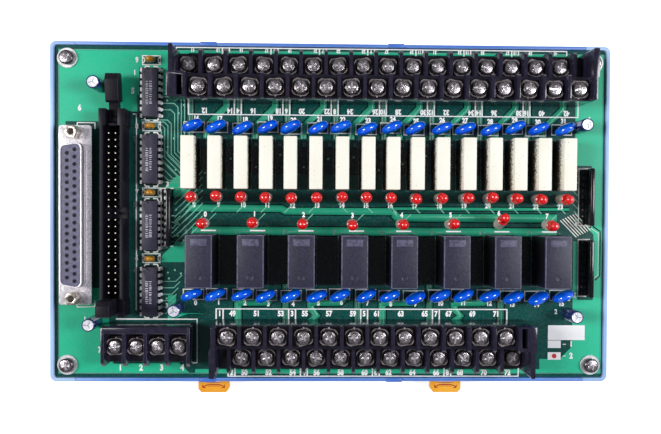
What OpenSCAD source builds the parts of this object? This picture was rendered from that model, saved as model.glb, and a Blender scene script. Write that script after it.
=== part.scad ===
// Relay module board. One circuit board with two rows of relays, screw
// terminals, a socket and a box header, held in a snap-together carrier that
// clips on a 35 mm rail.
// X runs along the rail and Y across it. Z = 0 is the face that the rail seats
// on, and X = Y = 0 is the middle of the carrier, on the rail's centre line.

/* [Carrier] */
// Length of the carrier along the rail
carrier_l = 220; // [219:0.5:240]
// Width of the carrier across the rail
carrier_w = 133; // [132.5:0.5:150]
// Thickness of the carrier's side and end walls
wall = 1.3; // [1.2:0.1:1.8]
// Thickness of the carrier's floor
floor_t = 2; // [1.8:0.1:3]
// Height of the board's underside over the carrier's floor
board_gap = 6.4; // [5.5:0.1:10]
// Height of the carrier's rim over the board's top face
rim_lift = 1.2; // [0.6:0.1:3]
// Outside radius of the carrier's upright corners
corner_r = 2.5; // [1.5:0.1:4]
// Width of the ledge that the board lies on
ledge_w = 2.5; // [1.5:0.1:3]
// Thickness of that ledge
ledge_t = 1.5; // [1:0.1:2.5]
// Length of each end element
end_l = 9.6; // [9.5:0.1:12]
// Distance of the first seam from the left foot's middle, outwards
seam_1_out = 0.6; // [0:0.1:5]
// Distance of the second seam from the right foot's middle, inwards
seam_2_in = 23; // [20:0.1:26]
// Open joint between neighbouring elements
seam_gap = 0.1; // [0.05:0.01:0.2]

/* [Seam clips] */
// Width of the clip that bridges a seam
clip_w = 6.4; // [5:0.1:8]
// Height of the clip
clip_h = 8; // [6:0.1:9]
// Thickness of the clip
clip_t = 1; // [0.9:0.05:1.1]
// How far the clip stands proud of the wall and the rim
clip_proud = 0.3; // [0.2:0.05:0.4]

/* [Rail feet] */
// Distance of each foot's middle from the middle of the carrier
foot_x = 48; // [46:0.5:60]
// Width of a foot along the rail
foot_w = 24; // [22:0.5:30]
// Thickness of a foot between the rail and the carrier's floor
foot_t = 5; // [4.8:0.1:8]
// Width of the rail
rail_w = 35; // [34.8:0.05:35.2]
// Thickness of the rail's lips
rail_t = 1; // [0.9:0.05:1.5]
// Play of the rail in the feet, on each side
rail_play = 0.25; // [0.1:0.05:0.4]
// How far a hook reaches under the rail's lip
hook_reach = 2.2; // [1.5:0.1:3]
// Thickness of a hook under the rail's lip
hook_t = 2.85; // [2:0.05:4]
// Thickness of the fixed hook's stem
hook_stem = 3.5; // [2.5:0.1:5]
// Length of the deep part of a foot behind the latch's nose
cheek_l = 16; // [12:0.5:24]
// Distance of a foot's outer end from the carrier's edge
foot_inset = 4.5; // [3:0.5:8]
// Depth of the relief beside the hooks, round the rail's seat
seat_relief = 0.3; // [0.2:0.05:0.6]

/* [Rail latches] */
// Width of the latch's bar
latch_w = 12.6; // [11:0.1:13]
// Thickness of the latch
latch_t = 2.8; // [2.4:0.1:3]
// Travel that frees the rail
latch_travel = 4; // [3:0.1:4.5]
// How far the latch stands out past the carrier's edge
latch_out = 7.8; // [6:0.1:12]
// Width of the guide flange on each side of the latch
flange_w = 1.3; // [0.8:0.1:1.5]
// Running gap between the latch and its channel
latch_gap = 0.2; // [0.1:0.05:0.3]
// Diameter of the stop bump on top of the latch
bump_d = 3; // [2:0.1:4]
// Distance of the stop bump from the foot's outer end
bump_in = 12; // [9:0.5:16]
// Width of the slot for a screwdriver
pry_w = 6; // [4:0.1:8]

/* [Circuit board] */
// Thickness of the board
board_t = 1.6; // [1.5:0.1:2.4]
// Gap between the board's edge and the carrier
board_play = 0.2; // [0.1:0.05:0.4]
// Distance of the fixing screws from the carrier's ends and sides
screw_inset = 6.4; // [6.2:0.1:6.5]
// Diameter of the fixing screws
screw_d = 3; // [2.5:0.1:3.2]
// Diameter of a fixing screw's head
screw_head_d = 5.6; // [5:0.1:6]
// Height of that head
screw_head_h = 2.2; // [1.8:0.1:3]
// Diameter of the washer under that head
washer_d = 7.9; // [7:0.1:8]
// Thickness of that washer
washer_t = 0.6; // [0.5:0.1:0.8]
// Outside diameter of the screw post in the carrier
post_d = 6; // [5.6:0.1:6.8]

/* [Screw terminals] */
// Distance from one output terminal to the next
pitch = 9.525; // [9.3:0.005:9.56]
// Distance of the upper block from the carrier's left end
upper_from_left = 48.85; // [48.6:0.05:49]
// Distance of the upper block's inner face from the carrier's upper side
upper_from_side = 23.6; // [23.3:0.1:24]
// Distance of the lower block from the carrier's left end
lower_from_left = 64.65; // [62:0.05:66]
// Distance of the lower block's inner face from the carrier's lower side
lower_from_side = 24.5; // [24:0.1:25]
// Room kept free between the upper block and the carrier's right end
right_room = 10.8; // [10.5:0.1:11]
// Depth of the high tier
tier_d = 9.3; // [9.2:0.1:9.6]
// Depth of the whole block without its fins
block_d = 18.3; // [18:0.1:18.8]
// How far the fins stand out in front of the block
fin_out = 1; // [0.5:0.1:1.2]
// Thickness of the barriers between the terminals
barrier_t = 1.3; // [1.1:0.1:1.5]
// Thickness of the walls at the block's ends
end_t = 1.95; // [1.6:0.05:2]
// How far the low tier's ends stand off the high tier's
end_step = 0.6; // [0.4:0.1:0.8]
// Rounding of the end walls' upright edges
end_round = 0.6; // [0.3:0.1:0.8]
// Height of the low tier's seats
low_seat = 5.2; // [4.8:0.1:6]
// Height of the low tier's barriers
low_top = 11; // [10.5:0.1:13]
// Height of the high tier's seats
high_seat = 13.4; // [12.8:0.1:14]
// Height of the high tier's barriers
high_top = 18.6; // [18:0.1:20]
// Gap between a terminal plate and the plastic round it
plate_gap = 0.1; // [0.05:0.05:0.2]
// Thickness of a terminal plate
plate_t = 0.8; // [0.6:0.1:1]
// Depth of a terminal plate
plate_d = 7.4; // [7:0.1:7.6]
// Thickness of the kerb behind the high tier's plates
kerb_t = 0.5; // [0.4:0.1:0.8]
// Height of that kerb over the high seats
kerb_h = 1.6; // [1:0.1:3]
// Depth of the pocket beside the first high terminal
pocket_deep = 14; // [8:0.5:15]
// Thickness of that pocket's front and left walls
pocket_wall = 1.3; // [1:0.1:1.6]
// Width of the square washer under a terminal screw
cup_w = 6.4; // [6:0.1:6.8]
// Thickness of that washer
cup_t = 0.6; // [0.5:0.1:0.8]
// Diameter of a terminal screw's head
head_d = 5.6; // [5.2:0.1:5.8]
// Height of that head
head_h = 2; // [1.8:0.1:2.4]
// Diameter of a terminal screw's shank
shank_d = 3.4; // [3:0.1:3.6]
// Length of a terminal screw's shank under its washer
shank_l = 3.6; // [3:0.1:4]

/* [Supply terminals] */
// Distance from one supply terminal to the next
supply_pitch = 8.1; // [8:0.05:8.3]
// Number of supply terminals
supply_n = 4; // [2:1:4]
// Distance of the supply block from the carrier's left end
supply_from_left = 22.3; // [22:0.05:23]
// Distance of the supply block's inner face from the carrier's lower side
supply_from_side = 23.3; // [23.1:0.1:23.5]
// Depth of the supply block without its fins
supply_d = 14.6; // [14:0.1:15.5]
// Thickness of its rear wall
supply_rear = 2.9; // [2.5:0.1:3.2]
// Height of its walls
supply_top = 11.2; // [10.5:0.1:13]

/* [Socket] */
// Distance of the socket's middle from the carrier's left end
socket_from_left = 11.05; // [10.8:0.05:11.5]
// Middle of the socket across the carrier
socket_y = -1.2; // [-3:0.1:3]
// Distance from the last contact to the end of the shell
shell_end = 2.72; // [2.6:0.02:3]
// Distance from the shell's end to the middle of a jack post
post_out = 4.1; // [3.9:0.1:4.5]
// Distance from a jack post to the end of the flange
flange_end = 2.9; // [2.7:0.1:4]
// Width of that flange
flange_d = 12.5; // [12:0.1:12.8]
// Height of the flange's underside over the board
flange_z = 4.6; // [4:0.1:6]
// Thickness of the flange and the shell
shell_t = 0.6; // [0.5:0.05:0.7]
// Height of the shell over the flange
shell_h = 5.5; // [5:0.1:6.5]
// Width of the shell
shell_w = 8.6; // [8.4:0.1:9]
// Distance from one contact to the next
contact_pitch = 2.77; // [2.7:0.01:2.8]
// Distance between the two rows of contacts
contact_row = 2.84; // [2.7:0.01:2.9]
// Number of contacts in the longer row
contact_n = 19; // [10:1:19]
// Diameter of a contact's hole
contact_d = 1.3; // [1.2:0.05:1.5]
// Width across the flats of a jack post
post_flats = 4.6; // [4.2:0.1:4.8]
// Height of a jack post over the flange
post_h = 5; // [4.5:0.1:6]
// Diameter of the thread's core in a jack post
thread_d = 2.3; // [2.1:0.05:2.5]
// Depth of that thread
thread_l = 4; // [3:0.1:4.4]

/* [Box header] */
// Distance of the header's middle from the carrier's left end
header_from_left = 26; // [25.6:0.1:26.2]
// Middle of the header across the carrier
header_y = -0.3; // [-0.5:0.1:1]
// Number of pins in each of its two rows
pin_n = 25; // [20:1:25]
// Distance from one pin to the next
pin_pitch = 2.54; // [2.5:0.01:2.54]
// Thickness of a pin
pin_t = 0.64; // [0.6:0.01:0.66]
// Height of the pins over the board
pin_h = 8.3; // [7.5:0.1:8.8]
// Width of the header's body
header_w = 8.8; // [8.6:0.1:9]
// Height of the header's walls
header_h = 9.2; // [8.8:0.1:9.4]
// Thickness of the header's long walls
header_wall = 1.2; // [1:0.1:1.3]
// Thickness of the header's floor
header_floor = 2.6; // [2.4:0.1:3]
// Width of the key slot in the header's wall
key_w = 4.4; // [4:0.1:5]
// Distance from the last pins to the hinge of an ejector
hinge_past = 5.5; // [5.3:0.1:6]
// Height of that hinge over the board
hinge_z = 3.6; // [3.5:0.1:3.8]
// Diameter of the hinge pin
hinge_d = 1.5; // [1.2:0.1:1.6]
// Radial gap round the hinge pin
hinge_gap = 0.08; // [0.04:0.01:0.1]
// Width of an ejector's neck
neck_w = 3.8; // [3.4:0.1:4]
// Thickness of that neck
neck_t = 3; // [2.6:0.1:3.2]
// Length of that neck above the hinge
neck_l = 6.8; // [6.5:0.1:8]
// Radius of an ejector round its hinge
hub_r = 2.2; // [2:0.1:2.4]
// Width of an ejector's head
head_w = 5.1; // [4.6:0.1:6]
// Thickness of an ejector's head
head_t = 5.9; // [5:0.1:6.2]
// Length of an ejector above its hinge
ejector_l = 17.8; // [16:0.1:20]
// Angle at which the upper ejector lies open
open_angle = 80; // [60:1:82]

/* [Relays] */
// Distance from one slim relay to the next
relay_pitch = 9.7; // [9.5:0.05:9.8]
// Number of slim relays, where the board has room for them
slim_n = 16; // [8:2:16]
// Width of a slim relay
slim_w = 5; // [4.6:0.1:5.4]
// Length of a slim relay
slim_l = 20; // [19:0.1:20.5]
// Height of a slim relay
slim_h = 12.5; // [11:0.1:14]
// Width of a power relay
power_w = 10; // [9.5:0.1:10.5]
// Length of a power relay
power_l = 20; // [19:0.1:20.5]
// Height of a power relay
power_h = 15.6; // [14:0.1:17]
// Distance of the first slim relay's middle from the carrier's left end
first_from_left = 55.4; // [55:0.1:56]
// How far the second row of relays is shifted
row_shift = 4.4; // [4:0.1:4.85]
// How unevenly the relays stand in their rows
unevenness = 0.35; // [0:0.05:0.4]

/* [Small parts] */
// Diameter of a varistor's disc
disc_d = 7.5; // [7:0.1:8]
// Thickness of that disc
disc_t = 3.3; // [3:0.1:3.5]
// Height of the disc's lowest point over the board
disc_lift = 1.2; // [0.8:0.1:2]
// Angle of the discs to the row
disc_angle = 20; // [10:1:25]
// Gap between a row of varistors and its relays
disc_gap = 1.4; // [1.2:0.1:1.5]
// Diameter of an indicator lamp
lamp_d = 3.8; // [3:0.1:4]
// Height of a lamp's tip over the board
lamp_h = 12.3; // [11:0.1:14]
// Diameter of the spacer under a lamp
spacer_d = 4.2; // [4:0.1:4.4]
// Height of that spacer
spacer_h = 7; // [6:0.1:8]
// Gap between the slim relays and their lamps
slim_lamp_gap = 1; // [0.8:0.1:1.2]
// Gap between the power relays and their lamps
power_lamp_gap = 1.9; // [1.6:0.1:2]
// Share of the board's free width that lies above the upper varistors
upper_share = 0.34; // [0.32:0.01:0.36]
// Share of the board's free width that lies between the two rows of lamps
middle_share = 0.31; // [0.29:0.01:0.33]
// Lean of the lamps that stand least upright
lamp_lean = 3; // [0:0.5:4]
// Number, from the left, of the lower lamp that is bent over
bent_lamp = 7; // [1:1:8]
// Lean of that lamp
bent_lean = 15; // [0:1:16]
// Diameter of an electrolytic capacitor
can_d = 5; // [4.5:0.1:5.4]
// Height of an electrolytic capacitor
can_h = 11; // [10:0.1:12.5]
// Number of driver circuits, where the board has room for them
driver_n = 4; // [1:1:4]
// Distance of the driver circuits from the carrier's left end
dip_from_left = 39.05; // [38.8:0.05:39.2]
// Distance of the first driver circuit's middle from the carrier's upper side
dip_from_side = 19.9; // [19.6:0.1:20.4]
// Distance from one driver circuit to the next
dip_step = 25.87; // [25.5:0.01:26]
// Length of a driver circuit's body
dip_l = 19.3; // [19:0.1:19.6]
// Width of that body
dip_w = 6.4; // [6:0.1:6.6]
// Thickness of that body
dip_t = 3.3; // [3:0.1:3.6]
// Distance between the two rows of its leads
dip_span = 7.62; // [7.5:0.01:7.8]
// Number of leads on each side of a driver circuit
lead_n = 8; // [7:1:8]
// Distance from a driver circuit to its ceramic capacitor
ceramic_step = 12.95; // [12.9:0.05:13]
// Width of a ceramic capacitor
ceramic_d = 4.2; // [3.6:0.1:4.6]
// Thickness of a ceramic capacitor
ceramic_t = 2.2; // [1.8:0.1:2.4]
// Height of its middle over the board
ceramic_mid = 2.6; // [2.4:0.1:3]
// Thickness of a resistor network
network_t = 2.2; // [2:0.1:2.5]
// Height of a resistor network over the board
network_h = 6; // [5:0.1:8]
// Number of wires of a resistor network
network_n = 9; // [6:1:9]
// Distance of the left network from the carrier's left end
network_from_left = 46.6; // [46.2:0.1:47]
// Middle of the left network across the carrier
network_left_y = -1.9; // [-3:0.1:0]
// Distance of the right networks from the carrier's right end
network_from_right = 8.1; // [7.9:0.1:8.6]
// Middle of the upper right network across the carrier
network_upper_y = 6.9; // [6:0.1:8]
// Distance from the upper to the lower right network
network_step = 28.2; // [26:0.1:30]

/* [Hidden] */
$fn = 48;
eps = 0.01;
quarter = 90;

// Numbers of pieces, as many as the carrier has room for
function room_along(from, to, step) = floor((carrier_l - from - to) / step);
n_slim = min(slim_n,
    floor((carrier_l - upper_from_left - right_room - 2 * barrier_t) / pitch - 0.5),
    1 + room_along(first_from_left, network_from_right + slim_w, relay_pitch));
n_power = floor(n_slim / 2);
n_upper = n_slim;
n_lower = floor(3 * n_power / 2);
n_drivers = min(driver_n, 1 + floor(
    (carrier_w - dip_from_side - dip_l / 2 - supply_from_side - 1) / dip_step));

// Levels over the rail's face
floor_z = foot_t;
floor_top = floor_z + floor_t;
board_z = floor_top + board_gap;
board_top = board_z + board_t;
rim_z = board_top + rim_lift;
hook_z = -(rail_t + rail_play + hook_t);

// Sizes that follow from the carrier
board_l = carrier_l - 2 * (wall + board_play);
board_w = carrier_w - 2 * (wall + board_play);
screw_x = carrier_l / 2 - screw_inset;
screw_y = carrier_w / 2 - screw_inset;
end_x = carrier_l / 2 - end_l;
post_bore = screw_d + 0.1;
shank_hole = shank_d + 0.1;
washer_hole = screw_d + 0.3;

seam_1_x = -foot_x - seam_1_out;
seam_2_x = foot_x - seam_2_in;

// Places along the carrier
left = -carrier_l / 2;
right = carrier_l / 2;
upper_x = left + upper_from_left + (n_upper + 0.5) * pitch / 2 + barrier_t;
lower_x = left + lower_from_left + (n_lower + 0.5) * pitch / 2 + barrier_t;
supply_x = left + supply_from_left + (supply_n * supply_pitch + barrier_t) / 2;
socket_x = left + socket_from_left;
header_x = left + header_from_left;
first_x = left + first_from_left;
dip_x = left + dip_from_left;

// Places across the carrier. What is free between the two blocks, after the
// rows of pieces and their gaps, is shared by the printed strips
top = carrier_w / 2;
upper_y = top - upper_from_side;
lower_y = -top + lower_from_side;
supply_y = -top + supply_from_side;
dip_y = top - dip_from_side;
disc_row = disc_d * sin(disc_angle) + disc_t * cos(disc_angle);
free_w = upper_y - lower_y - slim_l - power_l - 2 * spacer_d
    - 2 * (disc_row + disc_gap) - slim_lamp_gap - power_lamp_gap;
disc_upper_y = upper_y - upper_share * free_w - disc_row / 2;
slim_y = disc_upper_y - disc_row / 2 - disc_gap - slim_l / 2;
lamp_upper_y = slim_y - slim_l / 2 - slim_lamp_gap - spacer_d / 2;
lamp_lower_y = lamp_upper_y - spacer_d - middle_share * free_w;
power_y = lamp_lower_y - spacer_d / 2 - power_lamp_gap - power_l / 2;
disc_lower_y = power_y - power_l / 2 - disc_gap - disc_row / 2;

// Sizes that follow from the rail
rail_edge = rail_w / 2 + rail_play;
foot_end = -carrier_w / 2 + foot_inset;
cheek_end = -rail_edge - cheek_l;
channel_w = latch_w + 2 * latch_gap;
channel_h = latch_t + 2 * latch_gap;
flange_z0 = 1.2;
bump_y = foot_end + bump_in;
bump_h = 1.2;
latch_in = -10.2;
peg_w = 2.4;
peg_l = 6;
peg_gap = 0.1;
peg_ys = [foot_end + bump_in, 10];

// A plate with round upright corners, standing on z = 0
module round_plate(l, w, h, r) {
    cube_at([l - 2 * r, w, h]);
    cube_at([l, w - 2 * r, h]);
    for (sx = [-1, 1], sy = [-1, 1])
        translate([sx * (l / 2 - r), sy * (w / 2 - r), 0]) cylinder(h = h, r = r);
}

// A block centred on X and Y, standing on z = 0
module cube_at(size) {
    translate([-size[0] / 2, -size[1] / 2, 0]) cube(size);
}

// A profile in Y and Z, drawn out along X and centred on it
module along_x(l, points) {
    translate([-l / 2, 0, 0]) rotate([quarter, 0, quarter]) linear_extrude(l) polygon(points);
}

module on_board(x, y) {
    translate([x, y, board_top]) children();
}

// ---------------------------------------------------------------- carrier

// The whole carrier as one tray: floor, rim, ledge for the board, screw posts
module tray() {
    inner_l = carrier_l - 2 * wall;
    inner_w = carrier_w - 2 * wall;
    difference() {
        union() {
            difference() {
                translate([0, 0, floor_z])
                    round_plate(carrier_l, carrier_w, rim_z - floor_z, corner_r);
                translate([0, 0, floor_top])
                    cube_at([inner_l, inner_w, board_z - ledge_t - floor_top]);
                translate([0, 0, floor_top])
                    cube_at([inner_l - 2 * ledge_w, inner_w - 2 * ledge_w, board_gap + eps]);
                translate([0, 0, board_z])
                    round_plate(inner_l, inner_w, rim_z, corner_r - wall);
            }
            for (sx = [-1, 1], sy = [-1, 1])
                translate([sx * screw_x, sy * screw_y, floor_top - eps])
                    cylinder(h = board_gap + eps, d = post_d);
        }
        for (sx = [-1, 1], sy = [-1, 1])
            translate([sx * screw_x, sy * screw_y, floor_top])
                cylinder(h = board_gap + eps, d = post_bore);
        for (x = [seam_1_x, seam_2_x], sy = [-1, 1])
            translate([x, sy * carrier_w / 2, 0]) seam_recess();
        for (sx = [-1, 1], px = [-1, 1], y = peg_ys)
            translate([sx * foot_x + px * peg_x(), y, floor_z - eps])
                cube_at([peg_w + 2 * peg_gap, peg_l + 2 * peg_gap, floor_t + 2 * eps]);
    }
}

// Room for a seam clip in the wall and the rim, centred on the wall's face
module seam_recess() {
    depth = clip_t - clip_proud;
    translate([0, 0, rim_z - clip_h])
        cube_at([clip_w + 2 * peg_gap, 2 * depth, clip_h + eps]);
    translate([0, 0, rim_z - depth])
        cube_at([clip_w + 2 * peg_gap, 2 * (wall + board_play), depth + eps]);
}

// The stretch of the tray between two seams
module tray_piece(x0, x1) {
    intersection() {
        tray();
        translate([x0 + seam_gap / 2, -carrier_w / 2 - 1, 0])
            cube([x1 - x0 - seam_gap, carrier_w + 2, rim_z + 1]);
    }
}

module end_left() { color("cornflowerblue") tray_piece(-carrier_l / 2 - 1, -end_x); }
module base_left() { color("cornflowerblue") tray_piece(-end_x, seam_1_x); }
module base_middle() { color("cornflowerblue") tray_piece(seam_1_x, seam_2_x); }
module base_right() { color("cornflowerblue") tray_piece(seam_2_x, end_x); }
module end_right() { color("cornflowerblue") tray_piece(end_x, carrier_l / 2 + 1); }

// One clip: an upright leg in the wall's recess and a lip over the rim
module seam_clip() {
    depth = clip_t - clip_proud;
    leg_h = clip_h - peg_gap;
    along_x(clip_w, [
        [-depth, rim_z - leg_h], [clip_proud, rim_z - leg_h],
        [clip_proud, rim_z + clip_proud - 0.3], [clip_proud - 0.3, rim_z + clip_proud],
        [-wall, rim_z + clip_proud], [-wall, rim_z - depth], [-depth, rim_z - depth]]);
}

module seam_clips() {
    color("lightsteelblue")
        for (x = [seam_1_x, seam_2_x], s = [0, 1])
            translate([x, 0, 0]) mirror([0, s, 0])
                translate([0, carrier_w / 2, 0]) seam_clip();
}

// -------------------------------------------------------------- rail feet

function peg_x() = channel_w / 2 + flange_w + (foot_w / 2 - channel_w / 2 - flange_w) / 2;

// A foot: seat for the rail, fixed hook at +Y, channel for the latch at -Y
module foot() {
    lip_z = -rail_t - rail_play;
    hook_in = rail_w / 2 - hook_reach;
    hook_out = rail_edge + hook_stem;
    difference() {
        union() {
            along_x(foot_w, [
                [foot_end, floor_z], [foot_end, 0], [cheek_end, 0], [cheek_end, hook_z],
                [-rail_edge, hook_z], [-rail_edge, 0], [rail_edge, 0], [rail_edge, lip_z],
                [hook_in, lip_z], [hook_in + 1.2, hook_z], [hook_out, hook_z],
                [hook_out, 0], [hook_out + 5, floor_z]]);
            for (px = [-1, 1], y = peg_ys)
                translate([px * peg_x(), y, floor_z - eps])
                    cube_at([peg_w, peg_l, floor_t - peg_gap]);
        }
        // channel for the latch's bar, and wider grooves for its flanges
        translate([0, (foot_end + latch_in) / 2 - 0.5, hook_z - 1])
            cube_at([channel_w, latch_in - foot_end + 1.5, channel_h - hook_z + 1]);
        translate([0, (foot_end + latch_in) / 2 - 0.5, flange_z0 - latch_gap])
            cube_at([channel_w + 2 * flange_w, latch_in - foot_end + 1.5,
                     channel_h - flange_z0 + latch_gap]);
        // relief in the seat, over what reaches under the rail's lips
        for (s = [-1, 1]) translate([0, s * (hook_in + rail_edge) / 2, 0])
            cube_at([foot_w + 1, rail_edge - hook_in + 0.2, seat_relief]);
        // slot that the latch's stop bump runs in
        translate([0, bump_y - latch_travel / 2, channel_h - eps])
            cube_at([bump_d + 2 * latch_gap, bump_d + latch_travel + 2 * latch_gap, floor_z]);
    }
}

module foot_left() { color("cornflowerblue") translate([-foot_x, 0, 0]) foot(); }
module foot_right() { color("cornflowerblue") translate([foot_x, 0, 0]) foot(); }

// A sliding latch: nose under the rail's lip, guide flanges, stop bump and
// a tab with a screwdriver slot that stands out past the carrier
module latch() {
    top = latch_gap + latch_t;
    lip_z = -rail_t - rail_play;
    nose_z = hook_z + latch_gap;
    nose_in = -rail_w / 2 + hook_reach;
    tip = -carrier_w / 2 - latch_out;
    half = latch_w / 2;
    difference() {
        union() {
            intersection() {
                along_x(latch_w, [
                    [tip, top], [tip, -1.2], [tip + 2.5, -1.2], [tip + 3.2, latch_gap],
                    [-rail_edge - 4.2, latch_gap], [-rail_edge - 4.2, nose_z],
                    [nose_in - 1.2, nose_z], [nose_in, nose_z + 1.2], [nose_in, lip_z],
                    [-rail_edge, lip_z], [-rail_edge, latch_gap],
                    [latch_in, latch_gap], [latch_in, top]]);
                translate([0, 0, hook_z]) linear_extrude(top - hook_z) polygon([
                    [-half, latch_in], [-half, tip + 1.4], [-half + 1.2, tip],
                    [half - 1.2, tip], [half, tip + 1.4], [half, latch_in]]);
            }
            translate([0, (foot_end + latch_in) / 2, flange_z0])
                cube_at([latch_w + 2 * flange_w, latch_in - foot_end, top - flange_z0]);
            translate([0, bump_y, top - eps]) cylinder(h = bump_h, d = bump_d);
        }
        translate([0, tip + 4.4, -2]) cube_at([pry_w, 1.2, top + 4]);
    }
}

module latch_left() { color("orange") translate([-foot_x, 0, 0]) latch(); }
module latch_right() { color("orange") translate([foot_x, 0, 0]) latch(); }

// ---------------------------------------------------------- circuit board

module board() {
    color("seagreen") difference() {
        translate([0, 0, board_z]) round_plate(board_l, board_w, board_t, 1);
        for (sx = [-1, 1], sy = [-1, 1])
            translate([sx * screw_x, sy * screw_y, board_z - 1])
                cylinder(h = board_t + 2, d = washer_hole);
    }
}

// A pan head with a cross recess and a slot, on a plain shank
module pan_screw(d, head, head_height, length, slot = 0.7) {
    crown = 0.35 * head_height;
    difference() {
        union() {
            cylinder(h = head_height - crown, d = head);
            translate([0, 0, head_height - crown])
                cylinder(h = crown, d1 = head, d2 = 0.72 * head);
            translate([0, 0, -length]) cylinder(h = length + eps, d = d);
        }
        translate([0, 0, 0.45 * head_height]) {
            cube_at([head + 1, slot, head_height]);
            cube_at([slot, 0.62 * head, head_height]);
        }
    }
}

module at_corners() {
    for (sx = [-1, 1], sy = [-1, 1]) on_board(sx * screw_x, sy * screw_y) children();
}

module board_screws() {
    color("silver") at_corners() translate([0, 0, washer_t]) rotate([0, 0, 35])
        pan_screw(screw_d, screw_head_d, screw_head_h, washer_t + board_t + board_gap - 1);
}

module board_washers() {
    color("gainsboro") at_corners() difference() {
        cylinder(h = washer_t, d = washer_d);
        translate([0, 0, -1]) cylinder(h = washer_t + 2, d = washer_hole);
    }
}

// -------------------------------------------------------- screw terminals

// Places of a tier's terminals, along the block from its middle
function tier_xs(n, shift) = [for (i = [0:n - 1]) (i - (n - 1) / 2) * pitch + shift];
function low_y() = (tier_d + block_d) / 2 - 0.1;
function high_y() = kerb_t + plate_gap + plate_d / 2;

// Two-tier block of n + n terminals. Its inner face is at y = 0. The low tier
// is in front, half a step to the left of the high tier
module two_tier_block(n) {
    half = (n + 0.5) * pitch / 2;
    quarter_step = pitch / 4;
    difference() {
        union() {
            // stepped body, with a low kerb behind the high tier
            along_x(2 * half + barrier_t, [
                [0, 0], [block_d, 0], [block_d, low_seat], [tier_d, low_seat],
                [tier_d, high_seat], [kerb_t, high_seat], [kerb_t, high_seat + kerb_h],
                [0, high_seat + kerb_h]]);
            end_walls(half, 0, tier_d, -end_step / 2);
            end_walls(half, tier_d - 1, block_d + fin_out, end_step / 2);
            for (i = [1:n]) translate([(i - n / 2) * pitch - quarter_step, 0, 0])
                low_barrier();
            for (i = [0:n - 1]) translate([(i - n / 2) * pitch + quarter_step, 0, 0])
                high_barrier();
            // solid round the pocket beside the first high terminal
            translate([-half, 0, 0]) cube([pitch / 2, tier_d, high_top]);
        }
        translate([-half + barrier_t / 2 + pocket_wall, kerb_t + plate_gap, high_top - pocket_deep])
            cube([pitch / 2 - barrier_t - pocket_wall, tier_d - pocket_wall - kerb_t - plate_gap,
                  pocket_deep + 1]);
        screw_rooms(n, -quarter_step, low_y(), low_seat);
        screw_rooms(n, quarter_step, high_y(), high_seat);
    }
}

// Room for the screws under one tier's terminal plates
module screw_rooms(n, shift, y, seat) {
    side = shank_d + 0.6;
    deep = shank_l + 0.4;
    for (x = tier_xs(n, shift)) translate([x, y, seat - deep]) cube_at([side, side, deep + 1]);
}

// Walls at both ends of the block, between y0 and y1. Their inner faces are in
// line with the barriers of the cells, and their outer faces are moved by shift
module end_walls(half, y0, y1, shift) {
    inner = half - barrier_t / 2;
    for (s = [-1, 1]) {
        wall_t = end_t + s * shift;
        translate([s * (inner + wall_t / 2), (y0 + y1) / 2, 0])
            round_plate(wall_t, y1 - y0, high_top, end_round);
    }
}

// Barrier beside a low terminal, with a fin in front of the block
module low_barrier() {
    along_x(barrier_t, [
        [tier_d - 1, 0], [block_d + fin_out, 0], [block_d + fin_out, low_top - 1],
        [block_d + fin_out - 1, low_top], [tier_d - 1, low_top]]);
}

// Barrier beside a high terminal
module high_barrier() {
    along_x(barrier_t, [
        [0, 0], [tier_d, 0], [tier_d, high_top - 0.6], [tier_d - 0.6, high_top],
        [0.6, high_top], [0, high_top - 0.6]]);
}

// Terminal plates of one tier, lying on its seats
module tier_plates(n, shift, y, seat) {
    for (x = tier_xs(n, shift)) translate([x, y, seat]) difference() {
        cube_at([pitch - barrier_t - 2 * plate_gap, plate_d, plate_t]);
        translate([0, 0, -1]) cylinder(h = plate_t + 2, d = shank_hole);
    }
}

module upper_frame() { on_board(upper_x, upper_y) children(); }
module lower_frame() { on_board(lower_x, lower_y) rotate([0, 0, 180]) children(); }

module block_plates(n) {
    tier_plates(n, -pitch / 4, low_y(), low_seat);
    tier_plates(n, pitch / 4, high_y(), high_seat);
}

module upper_block() { color("dimgray") upper_frame() two_tier_block(n_upper); }
module lower_block() { color("dimgray") lower_frame() two_tier_block(n_lower); }
module upper_plates() { color("silver") upper_frame() block_plates(n_upper); }
module lower_plates() { color("silver") lower_frame() block_plates(n_lower); }

// Places of the supply terminals, along their block
function supply_xs() = [for (i = [0:supply_n - 1]) (i - (supply_n - 1) / 2) * supply_pitch];
function supply_mid() = (supply_rear + supply_d) / 2 - 0.4;

// One row of terminals between a thick rear wall and open fronts. Its inner
// face is at y = 0 and its terminals face +Y
module single_block() {
    inner = supply_n * supply_pitch;
    difference() {
        union() {
            along_x(inner, [
                [0, 0], [supply_d, 0], [supply_d, low_seat], [supply_rear, low_seat],
                [supply_rear, supply_top - 0.4], [supply_rear - 0.4, supply_top],
                [0.6, supply_top], [0, supply_top - 0.6]]);
            for (i = [0:supply_n]) translate([(i - supply_n / 2) * supply_pitch, 0, 0])
                along_x(barrier_t, [
                    [0.6, 0], [supply_d + fin_out, 0], [supply_d + fin_out, supply_top - 2],
                    [supply_d + fin_out - 1.6, supply_top - 0.4], [0.6, supply_top - 0.4]]);
        }
        for (x = supply_xs()) translate([x, supply_mid(), low_seat - shank_l - 0.4])
            cube_at([shank_d + 0.6, shank_d + 0.6, shank_l + 1]);
    }
}

module supply_frame() { on_board(supply_x, supply_y) rotate([0, 0, 180]) children(); }
module supply_block() { color("dimgray") supply_frame() single_block(); }

module supply_plates() {
    color("silver") supply_frame() for (x = supply_xs())
        translate([x, supply_mid(), low_seat]) difference() {
            cube_at([supply_pitch - barrier_t - 2 * plate_gap, plate_d, plate_t]);
            translate([0, 0, -1]) cylinder(h = plate_t + 2, d = shank_hole);
        }
}

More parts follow.
